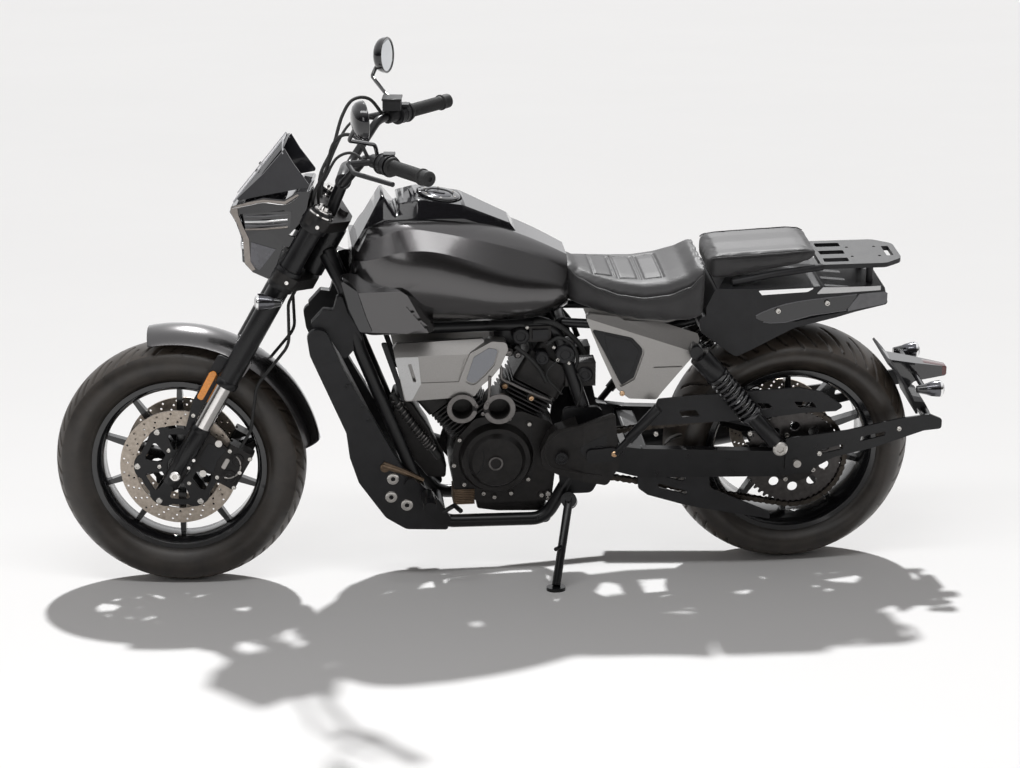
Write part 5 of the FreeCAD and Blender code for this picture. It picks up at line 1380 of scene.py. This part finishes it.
def chin_y(x, z):
    """Half width of the headlight's lower facet."""
    return min(taper_y(x), 74 - 0.2115 * (x - 1385) + 0.2043 * (z - 925))


def make_headlight_trim():
    """Bezel, light bars and facets of the headlight, and its twin projectors."""
    build = Build()
    cavity = [(1386, 988), (1300, 1000), (1262, 1002), (1266, 962), (1300, 956), (1378, 944)]
    build.add(drape(plate([cavity], -1.0, 0.8, 0.3), taper_y), slot=3)
    bezel = [(1415, 1003), (1417, 990), (1401, 963), (1387, 927), (1385, 860), (1368, 838),
             (1358, 844),
             (1370, 864), (1371, 925), (1385, 955), (1397, 984), (1399, 1002)]
    build.add(drape(plate([bezel], -1.0, 1.8, 0.4), chin_y), slot=1)
    brow = [(1414, 1004), (1370, 1020), (1332, 1030), (1279, 1027), (1247, 1046), (1242, 1043),
            (1277, 1020),
            (1332, 1023), (1368, 1013), (1398, 1001)]
    build.add(drape(plate([brow], -1.0, 1.4, 0.3), taper_y), slot=1)
    lip = [(x, taper_y(x) + 1.4, z) for x, z in ((1412, 1001), (1368, 1012), (1332, 1022),
                                                 (1278, 1019), (1246, 1038))]
    build.add(tube(smooth_path(lip), 0.9, 8), slot=0)
    facet = [(1366, 917), (1304, 902), (1348, 842), (1372, 856)]
    build.add(drape(plate([facet], -1.0, 1.2, 0.3), chin_y), slot=2)
    for z_front, z_back, radius, look in ((982, 993, 2.2, 4), (968, 980, 3.0, 0),
                                          (958, 969, 2.4, 4), (949, 961, 2.8, 1)):
        line = [(x, taper_y(x) - 1, z_front + (z_back - z_front) * (1380 - x) / 108)
                for x in (1380, 1330, 1272)]
        build.add(tube(line, radius, 12), slot=look)
    both = both_sides(build)
    for side in (1, -1):
        bowl = [(0.01, 6), (15, 5), (19, 0), (24, 1), (25, -3), (25, -6), (0.01, -6)]
        place = Matrix.Translation((1391, side * 28, 900)) @ Matrix.Rotation(-math.pi / 2, 4, "Z")
        both.add(lathe(bowl, 36, closed=False), place, 3)
        both.add(lathe([(19, 2), (24, 3), (26, 1), (26, -4), (19, -4)], 36), place, 0)
    both.add(block(1392, 1410, -52, 52, 967, 972), None, 0)
    piece("headlight_trim", both, steered, "steering",
          ["chrome", "titanium", "grey_gloss", "dark_lens", "satin_grey"])


make_headlight_trim()


def make_screen_trim():
    """Pale grey panel and edge rods on the fly screen as a painted reflection, and its screws."""
    build = Build()
    verts = [(1410.5, -46, 1014), (1410.5, 46, 1014), (1286.5, 38, 1169), (1286.5, -38, 1169),
             (1408.0, -46, 1012), (1408.0, 46, 1012), (1284.0, 38, 1167), (1284.0, -38, 1167)]
    faces = [(0, 1, 2, 3), (7, 6, 5, 4), (0, 4, 5, 1), (1, 5, 6, 2), (2, 6, 7, 3), (3, 7, 4, 0)]
    build.add((verts, faces))
    for side in (1, -1):
        build.add(tube([(1411, side * 48, 1012), (1342, side * 44, 1098), (1286, side * 38, 1169)],
                       2.4, 10))
        build.add(tube([(1286, side * 38, 1169), (1282, side * 88, 1146)], 2.2, 10))
        build.add(bolt_head(4.5, 2.5), facing((1352, side * 40, 1091), (0.78, 0, 0.62)), 1)
    piece("screen_edges", build, steered, "steering", ["screen_painted_reflection",
                                                                       "black_steel"])


make_screen_trim()

# ---------------------------------------------------------------- bars, mirrors and cables

GRIP_INNER = Vector((1000, 308, 1166.3))
BAR_END = Vector((909, 430, 1168))


def along_bar(start, end, rows, steps=40):
    """Rows (radius, distance) turned about the line from start to end."""
    direction = (end - start).normalized()
    return lathe(rows, steps, closed=False), facing(start, direction) @ QUARTER


def make_grips():
    """Ribbed rubber grips with a wide inner flange and a raised ring before the bar end."""
    build = Build()
    length = (BAR_END - GRIP_INNER).length
    rows = [(11.3, 0), (23, 0), (24, 3), (23, 7), (18, 9)]
    distance = 12.0
    while distance < length - 26:
        rows += [(17.4, distance), (17.4, distance + 2.6), (16.4, distance + 3.2),
                 (16.4, distance + 4.4)]
        distance += 5.0
    rows += [(17.5, length - 22), (20.5, length - 20), (20.5, length - 16), (17.5, length - 14),
             (17.5, length - 6),
             (18.5, length - 4), (18.5, length + 10), (15, length + 13), (6, length + 13),
             (6, length + 10),
             (0.01, length + 10)]
    form, place = along_bar(GRIP_INNER, BAR_END, rows)
    build.add(form, place)
    piece("ribbed_grips", both_sides(build), steered, "steering", ["rubber"],
          replaces=["hand_grips"])


make_grips()


def make_control_trim():
    """Switch blocks, reservoir and the cables that run down to the headlight."""
    build = Build()
    direction = (BAR_END - GRIP_INNER).normalized()
    start = GRIP_INNER - direction * 46
    for at, radius, wide in ((3, 26, 4), (22, 25.2, 3), (40, 26.5, 4)):
        form, place = along_bar(start + direction * at, BAR_END, [(20, 0), (radius, 0),
                                                                  (radius, wide), (20, wide)])
        build.add(form, place)
    seat = start + direction * 14
    build.add(block(-14, 14, -16, 16, 0, 8), Matrix.Translation(seat + Vector((-12, 0, 20))), 1)
    for offset in (-8, 0, 8):
        build.add(block(-3, 3, -2.5, 2.5, 0, 5),
                  Matrix.Translation(seat + Vector((-24, offset, 6))), 1)
    both = both_sides(build)
    right = start.copy()
    right.y = -right.y
    both.add(block(-24, 22, -30, 26, 0, 26), Matrix.Translation(right + Vector((8, 30, 22))), 1)
    both.add(block(-26, 24, -32, 28, 26, 31), Matrix.Translation(right + Vector((8, 30, 22))), 0)
    piece("control_trim", both, steered, "steering",
          ["black_steel", "matte_plastic"],
          bevel=0.8)
    cables = Build()
    lines = (
        ((1056, 250, 1166), (1085, 236, 1216), (1120, 214, 1222), (1150, 190, 1190),
         (1170, 150, 1120),
         (1200, 110, 1060), (1212, 70, 1010), (1204, 40, 960)),
        ((1066, 244, 1160), (1100, 226, 1180), (1140, 196, 1160), (1172, 140, 1100),
         (1196, 80, 1050), (1200, 30, 980)),
        ((1056, -250, 1166), (1092, -236, 1214), (1132, -206, 1218), (1158, -176, 1180),
         (1178, -130, 1110),
         (1206, -80, 1050), (1206, -40, 970)),
        ((1066, -244, 1156), (1110, -220, 1172), (1148, -180, 1150), (1180, -120, 1090),
         (1200, -60, 1030),
         (1200, -24, 970)),
    )
    for index, line in enumerate(lines):
        cables.add(tube(smooth_path(line, 10), 3.6 if index % 2 else 4.4, 10))
    piece("control_cables", cables, steered, "steering", ["rubber"], smooth=60)


make_control_trim()


def make_mirror_faces():
    """Slightly domed glass in each mirror, with the shell's lip round it."""
    build = Build()
    centre = Vector((1062, 392, 1297))
    towards = Vector((-0.93, -0.3, 0.05)).normalized()
    glass = lathe([(0.01, 7.4), (20, 7.0), (36, 6.0), (42, 5.2), (42, 4.6), (0.01, 4.6)], 56,
                  closed=False)
    lip = lathe([(41.5, 4.5), (46.3, 4.5), (47, 6), (45, 7.6), (42, 7.0)], 56)
    shell = lathe([(46.3, 5), (46.2, -3), (43, -12), (35, -19), (24, -23), (10, -25), (0.01, -25),
                   (0.01, 4),
                   (40, 4)], 56, closed=False)
    place = facing(centre, towards) @ QUARTER
    for form, look in ((glass, 0), (lip, 1), (shell, 1)):
        build.add(form, place, look)
    piece("mirror_glass", both_sides(build), steered, "steering",
          ["mirror", "gloss_black"])


make_mirror_faces()


def make_lamp_lenses():
    """Clear domed lenses with bright rims on the four indicators, and the tail lamp's red tip."""
    lens_rows = [(0.01, 9), (9, 8), (15, 5), (18, 0), (18, -3), (0.01, -3)]
    rim_rows = [(17.5, -4), (21.5, -4), (22, 0), (20, 2), (17.5, 1)]
    bullet = [(21.6, -2), (21, -12), (18, -28), (13, -42), (7, -52), (0.01, -56), (0.01, -2)]
    for name, where, body, spot, ahead_sign in (
            ("front_indicator_lenses", steered, "steering", FRONT_INDICATOR, 1),
            ("rear_indicator_lenses", bike, "frame", (-373, 138, 500), -1)):
        build = Build()
        place = facing(spot, (ahead_sign, 0, 0)) @ QUARTER
        build.add(lathe(lens_rows, 32, closed=False), place)
        build.add(lathe(rim_rows, 32), place, 1)
        build.add(lathe(bullet, 32, closed=False), place, 2)
        piece(name, both_sides(build), where, body, ["indicator_lens", "chrome",
                                                                   "dark_chrome"],
              smooth=60)
    build = Build()
    tip = [(-342, 486), (-418, 487), (-418, 511), (-342, 526)]
    build.add(plate([rounded([(x, z, 4) for x, z in tip], 3)], -15, 15, 2.0))
    piece("tail_lamp_tip", build, bike, "frame", ["red_lens"])


FRONT_INDICATOR = (Matrix.Translation((WHEELBASE, 0, AXLE_HEIGHT)) @ Matrix.Rotation(-RAKE, 4, "Y")
                   @ Vector((25, 165, 521)))
FRONT_INDICATOR.x += 8
make_lamp_lenses()


def make_cap_trim():
    """Raised ring, screws and keyhole cover of the fuel cap."""
    build = Build()
    build.add(lathe([(34, 0), (50, 0), (51, 1.6), (48, 3), (36, 3), (34, 1.6)], 64))
    build.add(lathe([(0.01, 0), (30, 0), (30, 1.4), (27, 2.4), (0.01, 2.6)], 48, closed=False),
              None, 1)
    for k in range(6):
        x, z = polar(0, 0, 42, math.pi / 3 * (k + 0.5))
        build.add(bolt_head(3.4, 1.6), facing((x, 3, z), LEFT), 2)
    build.add(plate([rounded([(-14, -6, 5), (16, -6, 5), (16, 6, 5), (-14, 6, 5)], 4)], 2, 5, 1.0),
              slot=1)
    tilt = Matrix.Translation((902, 0, 1018)) @ Matrix.Rotation(math.radians(-9), 4, "Y")
    piece("cap_trim", placed(build, tilt @ QUARTER), bike, "fuel_cap",
          ["gloss_black", "dark_chrome", "bright_steel"])


make_cap_trim()

# ---------------------------------------------------------------- camera, light and room

CAMERA_FROM_AXLE = Vector((1.5252, 7.7222, 1.9936))
YAW, PITCH, ROLL = math.radians(-5.96), math.radians(-13.21), math.radians(-0.67)


def make_camera():
    data = bpy.data.cameras.new("camera")
    data.lens = 109.31
    data.sensor_width = 36
    data.clip_end = 60
    item = bpy.data.objects.new("camera", data)
    scene.collection.objects.link(item)
    forward = Vector((math.sin(YAW) * math.cos(PITCH), -math.cos(YAW) * math.cos(PITCH),
                      math.sin(PITCH)))
    right = forward.cross(Vector((0, 0, 1))).normalized()
    up = right.cross(forward)
    right, up = (right * math.cos(ROLL) + up * math.sin(ROLL),
                 up * math.cos(ROLL) - right * math.sin(ROLL))
    item.matrix_world = frame_matrix(right, up, -forward, rear_axle + CAMERA_FROM_AXLE)
    scene.camera = item


def area_light(name, place, target, size, power):
    data = bpy.data.lights.new(name, "AREA")
    data.shape = "RECTANGLE"
    data.size, data.size_y = size
    data.energy = power
    item = bpy.data.objects.new(name, data)
    scene.collection.objects.link(item)
    item.matrix_world = facing(place, Vector(place) - Vector(target))


SUN_FROM = Vector((-0.10, -0.76, 1.0))
SUN_STRENGTH, SUN_SPREAD = 3.1, math.radians(2.5)


def make_light():
    data = bpy.data.lights.new("sun", "SUN")
    data.energy = SUN_STRENGTH
    data.angle = SUN_SPREAD
    item = bpy.data.objects.new("sun", data)
    scene.collection.objects.link(item)
    item.matrix_world = facing((0, 0, 5), SUN_FROM)
    area_light("overhead", (0.5, 1.6, 3.2), (0.3, 0, 0.8), (3.2, 0.5), 30)
    area_light("front_fill", (1.8, 5.0, 2.4), (0, 0, 0.6), (1.6, 1.6), 16)


def make_room():
    mesh = bpy.data.meshes.new("floor")
    mesh.from_pydata([(-40, -60, 0), (40, -60, 0), (40, 30, 0), (-40, 30, 0)], [], [(0, 1, 2, 3)])
    paper = material("paper", (0.87, 0.868, 0.865), 0.8, scale=0.35, spread=0.018, bump=0.02,
                     bump_scale=200,
                     specular=0.2)
    mesh.materials.append(paper)
    item = bpy.data.objects.new("floor", mesh)
    scene.collection.objects.link(item)


def make_world():
    """A pale studio: its light on the object is dim, its mirror image is the white room."""
    world = bpy.data.worlds.new("studio")
    world.use_nodes = True
    scene.world = world
    tree = world.node_tree
    background = tree.nodes["Background"]
    place = node(tree, "ShaderNodeTexCoord")
    split = node(tree, "ShaderNodeSeparateXYZ")
    tree.links.new(place.outputs["Generated"], split.inputs["Vector"])
    height = node(tree, "ShaderNodeMath")
    height.operation = "MULTIPLY_ADD"
    height.inputs[1].default_value = -0.45
    tree.links.new(split.outputs["Y"], height.inputs[0])
    tree.links.new(split.outputs["Z"], height.inputs[2])
    ramp = node(tree, "ShaderNodeValToRGB")
    ramp.color_ramp.elements[0].position = 0.0
    ramp.color_ramp.elements[0].color = (0.050, 0.047, 0.045, 1)
    ramp.color_ramp.elements[1].position = 0.60
    ramp.color_ramp.elements[1].color = (0.93, 0.93, 0.94, 1)
    tree.links.new(height.outputs["Value"], ramp.inputs["Fac"])
    path = node(tree, "ShaderNodeLightPath")
    seen = node(tree, "ShaderNodeMath")
    seen.operation = "MAXIMUM"
    tree.links.new(path.outputs["Is Camera Ray"], seen.inputs[0])
    tree.links.new(path.outputs["Is Glossy Ray"], seen.inputs[1])
    mirrored = node(tree, "ShaderNodeMath")
    mirrored.operation = "MAXIMUM"
    tree.links.new(seen.outputs["Value"], mirrored.inputs[0])
    tree.links.new(path.outputs["Is Transmission Ray"], mirrored.inputs[1])
    mix = node(tree, "ShaderNodeMix")
    mix.data_type = "RGBA"
    for socket in mix.inputs:
        if socket.name == "A" and socket.type == "RGBA":
            socket.default_value = (0.150, 0.142, 0.140, 1)
        if socket.name == "B" and socket.type == "RGBA":
            tree.links.new(ramp.outputs["Color"], socket)
    tree.links.new(mirrored.outputs["Value"], mix.inputs["Factor"])
    for socket in mix.outputs:
        if socket.type == "RGBA":
            tree.links.new(socket, background.inputs["Color"])
    background.inputs["Strength"].default_value = 1.0


make_camera()
make_light()
make_room()
make_world()
